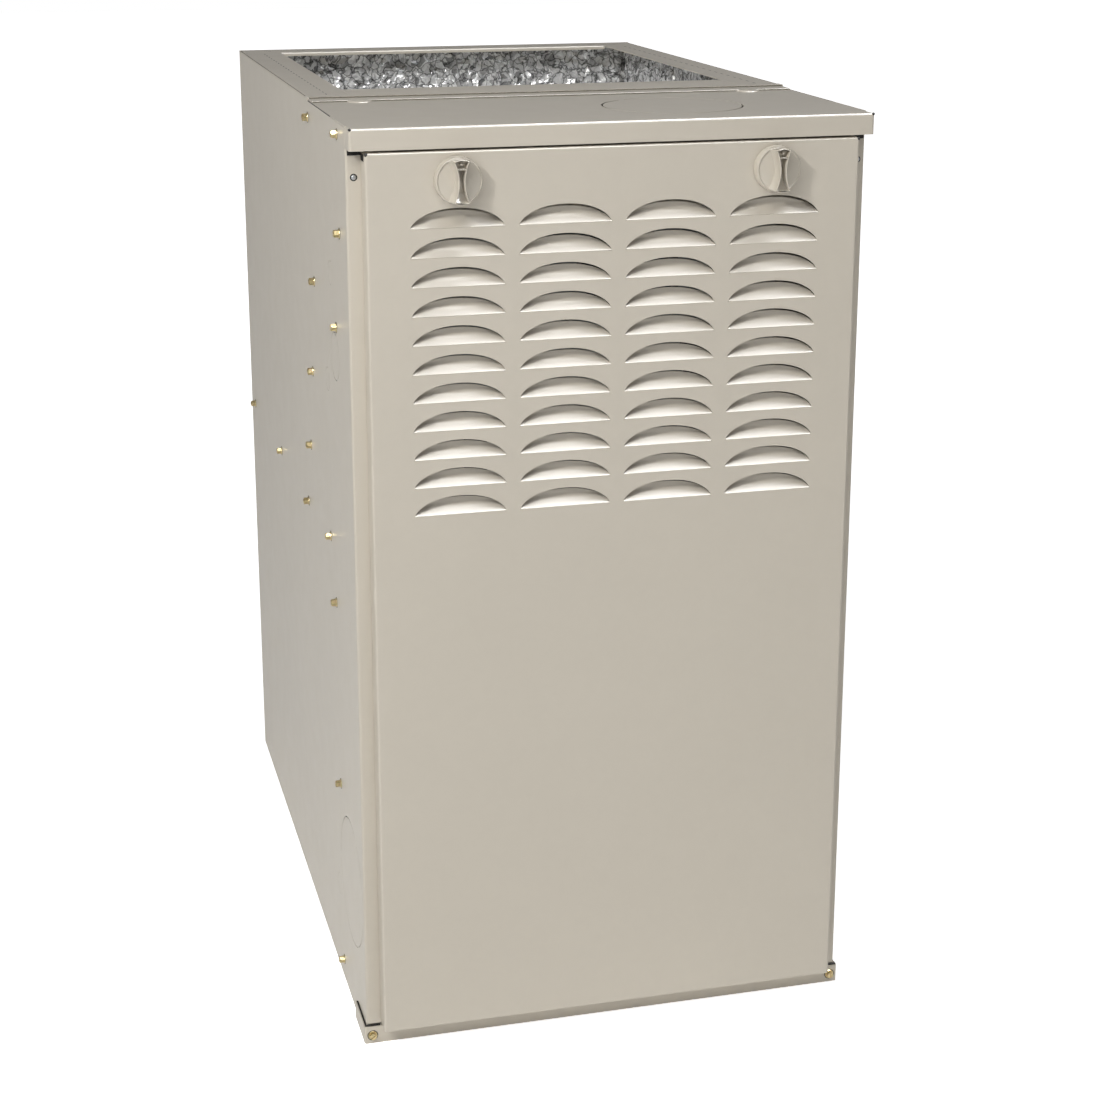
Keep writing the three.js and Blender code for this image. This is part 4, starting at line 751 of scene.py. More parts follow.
def perforation_shades():
    """Short slots along a bend line, drawn as dark bars of painted shade where they go through."""
    tree = Growth("bend perforations", {"Length": 0.0082, "Width": 0.0008, "Rise": 0.00008})
    size = (tree.size("Length"), tree.size("Width"), tree.size("Rise"))
    bar = tree.shape("GeometryNodeMeshCube", {"Size": size})
    tree.finish(set_on_points(tree, bar))
    return tree


def rim_height(u):
    """How high a louvre's arch stands at a share of its half width."""
    return LOUVRE["height"] * (1 - abs(u) ** LOUVRE["fullness"]) ** LOUVRE["shoulder"]


def pressed_louvres():
    """Scoops pressed in from a straight foot and cut free along their arch. Local: X across, Y up, Z out."""
    tree = Growth("pressed louvres", {
        "Width": LOUVRE["width"], "Height": LOUVRE["height"], "Depth": 0.0078, "Ramp": 0.0100,
        "Kerf": 0.00025, "Thick": SHEET, "Sunk": 0.16,
    })
    unit = {"Size X": 2.0, "Size Y": 1.0, "Vertices X": 41, "Vertices Y": 13}
    grid = tree.shape("GeometryNodeMeshGrid", unit)
    where = tree.node("ShaderNodeSeparateXYZ", tree.node("GeometryNodeInputPosition").outputs[0])
    raw_u, raw_v = where.outputs[0], tree.math("ADD", where.outputs[1], 0.5)
    u = tree.math("SINE", tree.times(raw_u, math.pi / 2))
    v = tree.math("POWER", raw_v, 1.2)
    fall = tree.math("POWER", tree.math("ABSOLUTE", u), LOUVRE["fullness"])
    left = tree.math("MAXIMUM", tree.math("SUBTRACT", 1.0, fall), 0.0)
    bow = tree.math("POWER", left, LOUVRE["shoulder"])
    tall = tree.times(tree.size("Height"), tree.math("SUBTRACT", 1.0, tree.size("Sunk")))
    up = tree.times(tree.times(bow, tall), v)
    half = tree.math("SUBTRACT", tree.times(tree.size("Width"), 0.5), tree.size("Kerf"))
    side = tree.times(u, half)
    share = tree.math("MINIMUM", tree.math("DIVIDE", up, tree.size("Ramp")), 1.0)
    ease = tree.math("SINE", tree.times(share, math.pi / 2))
    depth = tree.times(tree.times(ease, tree.size("Depth")), -1.0)
    place = {"Position": tree.vector(side, up, depth)}
    shaped = tree.node("GeometryNodeSetPosition", grid, inputs=place).outputs[0]
    behind = tree.shape("GeometryNodeExtrudeMesh", {
        "Mesh": shaped, "Offset": (0.0, 0.0, -1.0), "Offset Scale": tree.size("Thick"), "Individual": False,
    })
    shell = tree.joined(behind, tree.node("GeometryNodeFlipFaces", shaped).outputs[0])
    whole = tree.node("GeometryNodeMergeByDistance", shell, inputs={"Distance": 1e-6}).outputs[0]
    tree.finish(set_on_points(tree, whole))
    return tree


def foil_sheets():
    """A foil face crushed into facets. It reads a grid's points and pushes them along the wall's normal."""
    tree = Growth("crushed foil", {
        "Width": 0.5, "Height": 0.4, "Crush": FOIL_CRUSH, "Facet": 0.012, "Seed": 3.0, "Step": 0.0026,
    })
    across = tree.math("DIVIDE", tree.size("Width"), tree.size("Step"))
    along = tree.math("DIVIDE", tree.size("Height"), tree.size("Step"))
    grid = tree.shape("GeometryNodeMeshGrid", {
        "Size X": tree.size("Width"), "Size Y": tree.size("Height"),
        "Vertices X": across, "Vertices Y": along,
    })
    place = tree.node("GeometryNodeInputPosition").outputs[0]
    seeded = tree.node("ShaderNodeVectorMath", place, (0.37, 0.11, 0.71), operation="ADD").outputs[0]
    warp = tree.node("ShaderNodeTexNoise", noise_dimensions="4D", inputs={
        "Vector": seeded, "W": tree.size("Seed"), "Scale": 55.0, "Detail": 2.0,
    }).outputs["Color"]
    shift = tree.node("ShaderNodeVectorMath", warp, operation="SCALE", inputs={"Scale": 0.02}).outputs[0]
    bent = tree.node("ShaderNodeVectorMath", seeded, shift, operation="ADD").outputs[0]
    scale = tree.math("DIVIDE", 1.0, tree.size("Facet"))
    folds = tree.node("ShaderNodeTexVoronoi", voronoi_dimensions="4D", feature="F1", inputs={
        "Vector": bent, "W": tree.size("Seed"), "Scale": scale,
    }).outputs["Distance"]
    small = tree.node("ShaderNodeTexVoronoi", voronoi_dimensions="4D", feature="F1", inputs={
        "Vector": bent, "W": tree.size("Seed"), "Scale": tree.times(scale, 2.3),
    }).outputs["Distance"]
    depth = tree.math("ADD", folds, tree.times(small, 0.4))
    push = tree.times(tree.times(depth, tree.size("Crush")), -1.0)
    offset = {"Offset": tree.vector(0.0, 0.0, push)}
    shaped = tree.node("GeometryNodeSetPosition", grid, inputs=offset).outputs[0]
    tree.finish(set_on_points(tree, shaped))
    return tree


# ---------------------------------------------------------------- casing


def mirrored(side, points):
    return [(side * x, y) for x, y in points]


def side_panel(side, label):
    """Side wall with its knockouts, folds and duct flange, and the tab behind a rail screw."""
    bm = bmesh.new()
    wall = sorted((side * INNER, side * HALF))
    head = CAP_TOP - SHEET - SEAT
    outline = [
        (FRONT, 0), (WALL_BACK - TURN, 0), (WALL_BACK - TURN, TOP - TURN), (NOSE_END, TOP - TURN),
        (NOSE_END, TOP), (RIDGE, TOP), (RIDGE, CAP_TOP), (WRAP_END, CAP_TOP), (WRAP_END, head),
        (FRONT + TURN, head), (FRONT + TURN, DOOR_FOOT), (FRONT, DOOR_FOOT),
    ]
    holes = []
    for radius, y, z, tab in SIDE_KNOCKOUTS:
        holes += slits(radius, (FRONT + y, z), tab=tab, width=0.0008 if radius > 0.02 else 0.0005)
    prism(bm, outline, "x", *wall, holes=holes)
    front_fold = mirrored(side, [(HALF - FRONT_FLANGE, FRONT), (HALF, FRONT), (HALF, FRONT + TURN)])
    prism(bm, folded(front_fold, side), "z", DOOR_FOOT, head)
    rear_fold = mirrored(side, [(HALF, WALL_BACK - TURN), (HALF, WALL_BACK), (HALF - REAR_FLANGE, WALL_BACK)])
    prism(bm, folded(rear_fold, side), "z", 0, TOP - SHEET - SEAT - 0.001)
    top_fold = mirrored(side, [(HALF, TOP - TURN), (HALF, TOP), (HALF - TURN, TOP)])
    prism(bm, folded(top_fold, side), "y", NOSE_END, BACK - TURN - SEAT)
    slope = (WALL_BACK - REAR_EDGE + 2 * SEAT) / (HALF - FLANGE_EDGE)
    flange = [
        (HALF - TURN, NOSE_END), (HALF - TURN, WALL_BACK - TURN * slope),
        (FLANGE_EDGE, REAR_EDGE - 2 * SEAT), (FLANGE_EDGE, NOSE_END),
    ]
    prism(bm, mirrored(side, flange), "z", TOP - SHEET, TOP)
    edge, low, high = HALF - FRONT_FLANGE, 0.0012, 0.0158
    tab = mirrored(side, [(edge, low), (HALF, low), (HALF, high), (edge, high)])
    hole = mirrored(side, circle(0.0026, 16, RAIL_SCREW))
    prism(bm, tab, "y", FRONT + 0.003, FRONT + 0.0039, holes=[hole])
    return finished(bm, label + "_side_skin", "beige_paint", "cabinet", (label + "_side_panel",))


def back_panel():
    """Back wall with its fold and rear duct flange, mitred at both ends."""
    bm = bmesh.new()
    wide = [(-HALF, 0), (HALF, 0), (HALF, TOP - TURN), (-HALF, TOP - TURN)]
    prism(bm, wide, "y", BACK - SHEET, BACK)
    whole = [(BACK, TOP - TURN), (BACK, TOP), (REAR_EDGE, TOP), (REAR_EDGE, TOP - 0.004)]
    prism(bm, folded(whole, 1, radius=0.0016), "x", -FLANGE_EDGE, FLANGE_EDGE)
    corner = folded([(BACK, TOP - TURN), (BACK, TOP), (BACK - TURN, TOP)], 1, radius=0.0016)
    reach = HALF - TURN * (HALF - FLANGE_EDGE) / (BACK - REAR_EDGE)
    for side in (-1, 1):
        prism(bm, corner, "x", *sorted((side * FLANGE_EDGE, side * HALF)))
        wedge = mirrored(side, [(FLANGE_EDGE, BACK - TURN), (reach, BACK - TURN), (FLANGE_EDGE, REAR_EDGE)])
        prism(bm, wedge, "z", TOP - SHEET, TOP)
    return finished(bm, "back_skin", "beige_paint", "cabinet", ("back_panel",))


def front_duct_flange():
    """The ridge behind the cap, whose flange is long between the side flanges and short over them."""
    bm = bmesh.new()
    edge = FLANGE_EDGE - SEAT
    long = folded([(RIDGE, TOP - 0.022), (RIDGE, TOP), (RIDGE + 0.0615, TOP)], -1)
    prism(bm, long, "x", -edge, edge)
    short = folded([(RIDGE, TOP - 0.022), (RIDGE, TOP), (RIDGE + 0.012, TOP)], -1)
    for side in (-1, 1):
        prism(bm, short, "x", *sorted((side * edge, side * (INNER - SEAT))))
    return finished(bm, "duct_ridge_skin", "beige_paint", "cabinet", ("front_duct_flange",))


def top_cap():
    """Rounded front tray of the cap, the plate behind it with its knockout, and its stepped rear hem."""
    low, high = Vector((-HALF, CAP_FRONT, LIP_FOOT)), Vector((HALF, DOOR_BACK, CAP_TOP))
    bm = tray(low, high, lambda n: n.z < -0.5 or n.y > 0.5, CAP_ROUND, 8, lambda n: n.z > 0.999)
    wide, plate_end, edge = INNER - SEAT, RIDGE - SEAT, HALF - CAP_ROUND
    right = [
        (edge, CAP_FRONT + CAP_ROUND), (edge, DOOR_BACK), (HALF, DOOR_BACK), (HALF, WRAP_END),
        (wide, WRAP_END), (wide, plate_end),
    ]
    plate = right + [(-x, y) for x, y in reversed(right)]
    vent = slits(VENT_KNOCKOUT["radius"], VENT_KNOCKOUT["centre"], steps=40, width=VENT_KNOCKOUT["width"])
    prism(bm, plate, "z", CAP_TOP - SHEET, CAP_TOP, holes=vent)
    hem_foot, hem_top, nose = CAP_TOP - 0.0001, TOP - STEP, 0.0006
    hem = [
        (HEM_FRONT, hem_foot), (plate_end, hem_foot), (plate_end, hem_top),
        (HEM_FRONT + nose, hem_top), (HEM_FRONT, hem_top - nose),
    ]
    prism(bm, hem, "x", -wide, wide)
    near, far, rise = CAP_FRONT + 0.0015, CAP_FRONT + 0.010, LIP_FOOT + SHEET
    foot = [(near, LIP_FOOT), (far, LIP_FOOT), (far, rise), (near, rise)]
    prism(bm, foot, "x", -HALF + 0.0012, HALF - 0.0012)
    finished(bm, "top_cap_skin", "beige_paint", "cabinet", ("top_cap",))


def cap_embosses():
    """Two half-round embosses, flat at the hem they meet."""
    bm = bmesh.new()
    around, rows = 24, 8
    for side in (-1, 1):
        x, y, z = side * (HALF - EMBOSS["inward"]), HEM_FRONT, CAP_TOP - 0.0002
        rings = []
        for k in range(rows + 1):
            tilt = math.pi / 2 * k / rows
            radius, rise = EMBOSS["radius"] * math.cos(tilt), EMBOSS["rise"] * math.sin(tilt)
            angles = [math.pi * i / around for i in range(around + 1)]
            ring = [(x + radius * math.cos(a), y - radius * math.sin(a), z + rise) for a in angles]
            rings.append([bm.verts.new(point) for point in ring])
        for a, b in zip(rings, rings[1:]):
            for i in range(around):
                bm.faces.new((a[i], a[i + 1], b[i + 1], b[i]))
        for a, b in zip(rings, rings[1:]):
            bm.faces.new((a[0], b[0], b[around], a[around]))
        bm.faces.new(rings[0])
    bmesh.ops.remove_doubles(bm, verts=bm.verts, dist=1e-6)
    bmesh.ops.recalc_face_normals(bm, faces=bm.faces)
    return finished(bm, "cap_embosses", "beige_paint", "cabinet", soft_angle=40)


def bottom_rail():
    """Rail that wraps both front corners, with the ledge that the door stands over."""
    bm = bmesh.new()
    rear = FRONT + 0.0475
    wrap = [(-RAIL_HALF, rear), (-RAIL_HALF, RAIL_FRONT), (RAIL_HALF, RAIL_FRONT), (RAIL_HALF, rear)]
    prism(bm, folded(wrap, 1, radius=0.002), "z", 0, RAIL_HEIGHT)
    inner, near, far = INNER - SHEET - 2 * SEAT, RAIL_FRONT + SHEET / 2, FRONT + 0.014
    ledge = [(-inner, near), (inner, near), (inner, far), (-inner, far)]
    prism(bm, ledge, "z", RAIL_HEIGHT - SHEET, RAIL_HEIGHT)
    return finished(bm, "bottom_rail_skin", "beige_paint", "cabinet", ("bottom_rail",))


def casing_shadow_strips():
    """Painted shade strips for the casing's dark gaps and folds: under the steps of the ridge, along the
    sides' top folds, under the cap's lip, over the rail and where the cap meets the sides.
    """
    proud, wide = DARK_PROUD, INNER - 2 * SEAT
    # Dark olive painted shade under the ridge's two steps and along the sides' top folds.
    bm = bmesh.new()
    block(bm, (-wide, HEM_FRONT - proud, CAP_TOP), (wide, HEM_FRONT, TOP - STEP - 0.0002))
    block(bm, (-wide, RIDGE - proud, TOP - STEP), (wide, RIDGE, TOP - 0.0002))
    for side in (-1, 1):
        near, far = sorted((side * (HALF - 0.0018), side * (HALF - 0.0004)))
        block(bm, (near, NOSE_END + 0.002, TOP - 0.0006), (far, WALL_BACK - TURN, TOP - 0.00035))
    finished(bm, "fold_shades", "beige_paint", "cabinet", material=SHADE)
    # Near black painted shade under the cap's lip, over the rail and where the cap meets the sides.
    bm = bmesh.new()
    for side in (-1, 1):
        near, far = sorted((side * (HALF - 0.0016), side * (DOOR_HALF - 0.001)))
        block(bm, (near, FRONT - 0.0006, LIP_FOOT - 0.0056), (far, FRONT - proud, LIP_FOOT - 0.0004))
        near, far = sorted((side * HALF, side * (HALF + 0.0016)))
        block(bm, (near, FRONT + 0.0012, RAIL_HEIGHT - 0.002), (far, FRONT + 0.0465, RAIL_HEIGHT + 0.0004))
        near, far = sorted((side * (HALF + 0.0016), side * (DOOR_HALF + 0.0006)))
        block(bm, (near, FRONT - 0.0016, RAIL_HEIGHT - 0.002), (far, FRONT, RAIL_HEIGHT + 0.0010))
        near, far = sorted((side * (HALF + proud), side * (HALF - 0.0004)))
        block(bm, (near, WRAP_END, CAP_TOP - 0.0006), (far, RIDGE - 0.002, CAP_TOP + 0.00004))
    return finished(bm, "casing_shadow_strips", "beige_paint", "cabinet", material=DARK)


def cap_corner_notch_shades():
    """Dark beads painted in as the shade in the relief holes where the cap's lip and its two wraps are folded
    from one sheet.
    """
    bm = bmesh.new()
    for side in (-1, 1):
        bead(bm, 0.0013, (side * (HALF - 0.0011), CAP_FRONT + 0.0011, CAP_TOP - 0.0009))
    return finished(bm, "cap_corner_notch_shades", "beige_paint", "cabinet", material=DARK)


def casing():
    for side, label in ((-1, "left"), (1, "right")):
        side_panel(side, label)
    back_panel()
    front_duct_flange()
    top_cap()
    cap_embosses()
    bottom_rail()
    casing_shadow_strips()
    cap_corner_notch_shades()


def casing_screws():
    """The screws and rivets of the sides, back, rail and front corners, each on a disc of painted contact
    shadow.
    """
    screws = slotted_screws()
    points = []
    for side in (-1, 1):
        for i, (y, z) in enumerate(SIDE_SCREWS):
            points.append(((side * HALF, FRONT + y, z), (side, 0, 0), 0.7 * i + side))
    for side in (-1, 1):
        for i, height in enumerate(BACK_SCREWS):
            points.append(((side * BACK_SCREW_SIDE, BACK, height), (0, 1, 0), 0.9 * i + side))
    screws.grow("side_screws", points, "zinc_yellow", "cabinet", Washer=0.0044, Head=0.0034, Rise=0.0050)
    # Thin dark discs under the heads: painted contact shadows.
    shadow_discs = contact_shadow_discs()
    shadow_discs.grow("screw_contact_shadows", points, "zinc_yellow", "cabinet", material=DARK)
    x, z = RAIL_SCREW
    rail_points = [((side * x, RAIL_FRONT, z), (0, -1, 0), 0.5 * side + 1.1) for side in (-1, 1)]
    rail_nodes = ("rail_screw_left", "rail_screw_right")
    screws.grow("rail_screws", rail_points, "zinc_yellow", "cabinet", rail_nodes, Washer=0.0044, Rise=0.0036)
    shadow_discs.grow("rail_screw_contact_shadows", rail_points, "zinc_yellow", "cabinet", material=DARK)
    rivets = domed_rivets()
    x, z = FLANGE_RIVET
    flange_points = [((side * x, FRONT, z), (0, -1, 0), 0.0) for side in (-1, 1)]
    rivets.grow("flange_rivets", flange_points, "galvanised", "cabinet", Radius=0.0022, Rise=0.0013)
    shadow_discs.grow("rivet_contact_shadows", flange_points, "galvanised", "cabinet", material=DARK, Radius=0.0031)


def bend_lines():
    """Perforated bend lines in the duct flanges, for opening them to a coil, their slots drawn in painted
    shade.
    """
    points = []
    for side in (-1, 1):
        y = NOSE_END + 0.012
        while y < REAR_EDGE - 0.006:
            points.append(((side * (HALF - 0.021), y, TOP), (0, 0, 1), math.pi / 2))
            y += PERFORATION_STEP
    x = -FLANGE_EDGE - 0.012
    while x < FLANGE_EDGE + 0.014:
        points.append(((x, BACK - 0.0225, TOP), (0, 0, 1), 0.0))
        x += PERFORATION_STEP
    perforation_shades().grow("bend_perforation_shades", points, "beige_paint", "cabinet", material=DARK)


# ---------------------------------------------------------------- door


def louvre_places():
    for column in range(LOUVRE["columns"]):
        for row in range(LOUVRE["rows"]):
            x = (column - (LOUVRE["columns"] - 1) / 2) * LOUVRE["pitch"]
            yield x, LOUVRE_TOP - row * LOUVRE["drop"]


def louvre_outline(x, z, steps=36):
    arch = []
    for i in range(steps + 1):
        u = math.cos(math.pi * i / steps)
        arch.append((x + u * LOUVRE["width"] / 2, z + rim_height(u)))
    return arch


def door_tray():
    """Rounded tray with turned-in lips, its louvre and spindle openings cut clean."""
    low, high = Vector((-DOOR_HALF, CAP_FRONT, DOOR_FOOT)), Vector((DOOR_HALF, DOOR_BACK, DOOR_TOP))
    bm = tray(low, high, lambda n: n.y > 0.5, BEND, 6, lambda n: n.y < -0.999)
    x, foot, top = DOOR_HALF - BEND, DOOR_FOOT + BEND, DOOR_TOP - BEND
    holes = [louvre_outline(*place) for place in louvre_places()]
    holes += [circle(SPINDLE_HOLE, 24, (side * KNOB["place"], KNOB["height"])) for side in (-1, 1)]
    prism(bm, [(-x, foot), (x, foot), (x, top), (-x, top)], "y", CAP_FRONT, CAP_FRONT + SHEET, holes=holes)
    foot, top = DOOR_FOOT + 0.001, DOOR_TOP - 0.001
    for side in (-1, 1):
        near, far = sorted((side * (DOOR_HALF - 0.012), side * (DOOR_HALF - SHEET / 2)))
        prism(bm, [(near, foot), (far, foot), (far, top), (near, top)], "y", DOOR_BACK - SHEET, DOOR_BACK)
    wide, foot, top = DOOR_HALF - 0.0125, DOOR_FOOT + SHEET / 2, DOOR_FOOT + 0.012
    sill = [(-wide, foot), (wide, foot), (wide, top), (-wide, top)]
    prism(bm, sill, "y", DOOR_BACK - SHEET, DOOR_BACK)
    return finished(bm, "door_skin", "beige_paint", "door", ("door_panel",))


def door_corner_notch_shades():
    """Painted shade at the tray's top corners: dark beads for the relief notches where its front and its
    sides part, and dark strips along the top of its sides.
    """
    bm = bmesh.new()
    for side in (-1, 1):
        bead(bm, 0.0016, (side * (DOOR_HALF - 0.0012), CAP_FRONT + 0.0014, DOOR_TOP - 0.0014))
        near, far = sorted((side * (DOOR_HALF - 0.0005), side * (DOOR_HALF + 0.00015)))
        block(bm, (near, CAP_FRONT + 0.006, DOOR_TOP - 0.0075), (far, DOOR_BACK - 0.0005, DOOR_TOP - 0.0016))
    return finished(bm, "door_corner_notch_shades", "beige_paint", "door", material=DARK)


def door():
    door_tray()
    door_corner_notch_shades()
    points = [((x, CAP_FRONT, z), (0, -1, 0), 0.0) for x, z in louvre_places()]
    pressed_louvres().grow("door_louvres", points, "beige_paint", "door", angle=60)


def grip_outline(share, inset=0.0, low=-1.0, high=1.0, steps=22):
    """The hourglass outline of the grip at a share of its height. It flares towards its foot."""
    flare = (1 - share) ** 3.2
    limit = KNOB["round"] - 0.0004 * share - inset
    corner = KNOB["end"] + 0.0036 * flare - inset
    reach = math.sqrt(limit ** 2 - corner ** 2)
    sides = []
    for i in range(steps + 1):
        y = reach * (low + (high - low) * i / steps)
        bow = (y / reach) ** 2
        width = KNOB["waist"] + (KNOB["end"] - KNOB["waist"]) * bow + (0.0017 + 0.0019 * bow) * flare
        sides.append((width - inset, y))
    arc = [(limit * math.cos(a), limit * math.sin(a)) for a in arc_between(corner / limit)]
    crown = arc if high == 1 else []
    foot = [(x, -y) for x, y in reversed(arc)] if low == -1 else []
    left = [(-x, y) for x, y in reversed(sides)]
    return sides + crown + left + foot


def arc_between(cosine, steps=8):
    """Angles of the points between a corner at this cosine and its mirror, without the two ends."""
    start = math.acos(cosine)
    return [start + (math.pi - 2 * start) * k / steps for k in range(1, steps)]


def filled(bm, loops):
    """A flat face with holes, made of triangles between loops of vertices."""
    flat = [vert for loop in loops for vert in loop]
    for tri in tessellate_polygon([[vert.co for vert in loop] for loop in loops]):
        bm.faces.new([flat[i] for i in tri])


def latch_knob(side, label):
    """Dished disc with a tall hollow grip, a cross rib and a small post in it, and the stem behind."""
    centre = Vector((side * KNOB["place"], CAP_FRONT - SEAT, KNOB["height"]))
    radius, rim, floor = KNOB["radius"], KNOB["rim"], KNOB["floor"]
    bm = bmesh.new()
    dish = [
        (0, 0), (radius - 0.0004, 0), (radius, -0.0004), (radius - 0.0003, 0.0010 - rim),
        (radius - 0.0006, 0.0003 - rim), (radius - 0.0012, -rim), (radius - 0.0018, 0.0002 - rim),
        (radius - 0.0022, 0.0007 - rim), (radius - 0.0026, 0.0001 - floor),
        (radius - 0.0036, -floor), (0, -floor),
    ]
    turned(bm, dish, centre, "y", 96)
    stem = [(0, -0.001), (0.0041, -0.001), (0.0041, 0.025), (0, 0.025)]
    turned(bm, stem, centre, "y", 32)
    post = [(0, -0.013), (0.0013, -0.013), (0.0012, -0.0172), (0.0008, -0.0176), (0, -0.0176)]
    turned(bm, post, centre + Vector((0, 0, 0.0149)), "y", 20)

    def sloping_floor(y):
        return floor + 0.0006 + 0.0052 * min(1.0, max(0.0, (-0.0095 - y) / 0.0078)) ** 1.2

    def raised(outline, height):
        heights = height if callable(height) else lambda y: height
        return [bm.verts.new(centre + Vector((x, -heights(y), y))) for x, y in outline]

    shares = [0.0, 0.04, 0.09, 0.15, 0.23, 0.33, 0.46, 0.62, 0.8, 0.94, 1.0]
    foot = floor - 0.0005
    outer = [raised(grip_outline(share), foot + (KNOB["top"] - foot) * share) for share in shares]
    loft(bm, outer)
    bmesh.ops.recalc_face_normals(bm, faces=bm.faces)
    reach = math.sqrt((KNOB["round"] - 0.0004 - KNOB["wall"]) ** 2 - (KNOB["end"] - KNOB["wall"]) ** 2)
    rib = KNOB["rib"] / reach
    half_rib = KNOB["wall"] / reach / 2
    upper = grip_outline(1.0, KNOB["wall"], low=rib + half_rib, steps=8)
    lower = grip_outline(1.0, KNOB["wall"], high=rib - half_rib)
    mouths = []
    for outline, depth in ((upper, 0.0135), (lower, sloping_floor)):
        mouth = raised(outline, KNOB["top"])
        bottom = raised(outline, depth)
        loft(bm, [mouth, bottom])
        filled(bm, [bottom])
        mouths.append(mouth)
    filled(bm, [outer[-1], *mouths])
    filled(bm, [outer[0]])
    bmesh.ops.recalc_face_normals(bm, faces=bm.faces)
    crest = centre.y - KNOB["top"] + 1e-5
    edges = [
        e for e in bm.edges
        if all(v.co.y < crest for v in e.verts) and len(e.link_faces) == 2 and e.calc_face_angle(0) > 0.8
    ]
    rounded(bm, edges, 0.00045, 3)
    body, node = label + "_latch", label + "_latch_knob"
    return finished(bm, label + "_knob_skin", "knob_plastic", body, (node,), soft_angle=38)


# ---------------------------------------------------------------- inside the casing


def crushed_liners():
    """Foil facing on the three insulated walls of the supply opening, with its fibre board behind."""
    tree = foil_sheets()
    inner_x = INNER - SEAT - 0.012
    for side, label in ((-1, "left"), (1, "right")):
        low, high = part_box(label + "_liner")
        middle = ((low[1] + high[1]) / 2, (low[2] + high[2]) / 2)
        across, tall = high[1] - low[1] - 0.001, high[2] - low[2] - 0.001
        face = [((side * (inner_x + 0.0002), *middle), (-side, 0, 0), 0.0)]
        seed = 3.0 + side
        sheet = tree.grow(label + "_foil", face, "foil_face", None, Width=tall, Height=across, Seed=seed)
        liner(label + "_liner", board(low, high, "x", side), sheet)
    low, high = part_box("back_liner")
    face = [((0, low[1] - 0.0002, (low[2] + high[2]) / 2), (0, -1, 0), 0.0)]
    wide, tall = high[0] - low[0] - 0.001, high[2] - low[2] - 0.001
    sheet = tree.grow("back_foil", face, "foil_face", None, Width=wide, Height=tall, Seed=9.0)
    liner("back_liner", board(low, high, "y", 1), sheet)


def liner(node, wall, sheet):
    """Joins a board and its foil into the piece that stands for a liner."""
    bm = bmesh.new()
    bm.from_mesh(wall.data)
    bm.from_mesh(sheet.data)
    bm.to_mesh(wall.data)
    bm.free()
    bpy.data.objects.remove(sheet)
    seated(wall, "cabinet", (node,))
    wall.name = node + "_skin"


def board(low, high, axis, side):
    """The fibre board behind a foil face, thinned so that the crushed face stays within its room."""
    bm = bmesh.new()
    a, b = Vector(low), Vector(high)
    index = 0 if axis == "x" else 1
    if side > 0:
        a[index] += FOIL_ROOM
    else:
        b[index] -= FOIL_ROOM
    block(bm, a, b)
    mesh = mesh_of(bm, "board")
    mesh.materials.append(FINISHES["foil_face"])
    return linked("board", mesh)


def exchanger_cells():
    """Clamshell cells: four flattened passes joined by return bends, on a crimped seam plate."""
    rise, length, rim, tube = CELL["rise"], CELL["length"], CELL["rim"], CELL["tube"]
    y0, z0 = RIDGE + 2 * (SHEET + SEAT), CELL["foot"]
    near, far = y0 + rise / 2 + tube, y0 + length - tube - rise / 2 - rim
    angles = [2 * math.pi * i / 28 for i in range(28)]
    section = [(CELL["half_width"] * math.cos(a), CELL["half_height"] * math.sin(a)) for a in angles]
    for number, x in enumerate(CELL["places"], 1):
        bm = bmesh.new()
        path = [(x, y0, z0), (x, far, z0)]
        for turn in range(3):
            out = 1 if turn % 2 == 0 else -1
            centre = (far if out > 0 else near, z0 + rise * (turn + 0.5))
            for k in range(1, 12):
                a = -math.pi / 2 + math.pi * k / 12
                bend = (centre[0] + out * rise / 2 * math.cos(a), centre[1] + rise / 2 * math.sin(a))
                path.append((x, *bend))
            path.append((x, centre[0], centre[1] + rise / 2))
            if turn < 2:
                path.append((x, near if out > 0 else far, centre[1] + rise / 2))
        path.append((x, y0, z0 + 3 * rise))
        sweep(bm, path, section)
        low, high = z0 - tube - rim, z0 + 3 * rise + tube + rim
        seam = [(y0, low), (y0 + length, low), (y0 + length, high), (y0, high)]
        prism(bm, seam, "x", x - 0.0012, x + 0.0012)
        name = f"heat_exchanger_cell_{number}"
        finished(bm, name + "_skin", "aluminised", "cabinet", (name,), soft_angle=45)


ROUND_NODES = (
    "inducer_housing", "inducer_motor", "inducer_wheel", "vent_boot", "burner_1", "burner_2", "burner_3",
    "gas_manifold", "gas_valve", "pressure_switch", "pressure_hose", "limit_switch", "rollout_switch",
    "blower_scroll", "blower_side_left", "blower_side_right", "blower_shaft", "blower_motor", "motor_mount",
    "run_capacitor", "blower_wheel",
)
TURNING = {"inducer_wheel": "inducer_rotor", "blower_shaft": "blower_rotor", "blower_wheel": "blower_rotor"}


def dress_nodes():
    """Gives every CAD node its own finish, and shades the round ones smoothly."""
    slots = {part["node"]: part["material_slot"] for part in frame["record"]["subparts"]}
    for name, node in frame["nodes"].items():
        for slot in node.material_slots:
            slot.material = FINISHES[slots[name]]
    for name in ROUND_NODES:
        smoothed(name, slots[name], TURNING.get(name, "cabinet"))


# ---------------------------------------------------------------- floor and light


WHITE = (1, 1, 1, 1)
FLOOR_SPAN = 14.0
FLOOR_GLOW = {"seen_near": 0.74, "seen_far": 1.0, "from": 0.45, "to": 2.2, "unseen": 0.22}
WORLD_LIGHT = 0.29


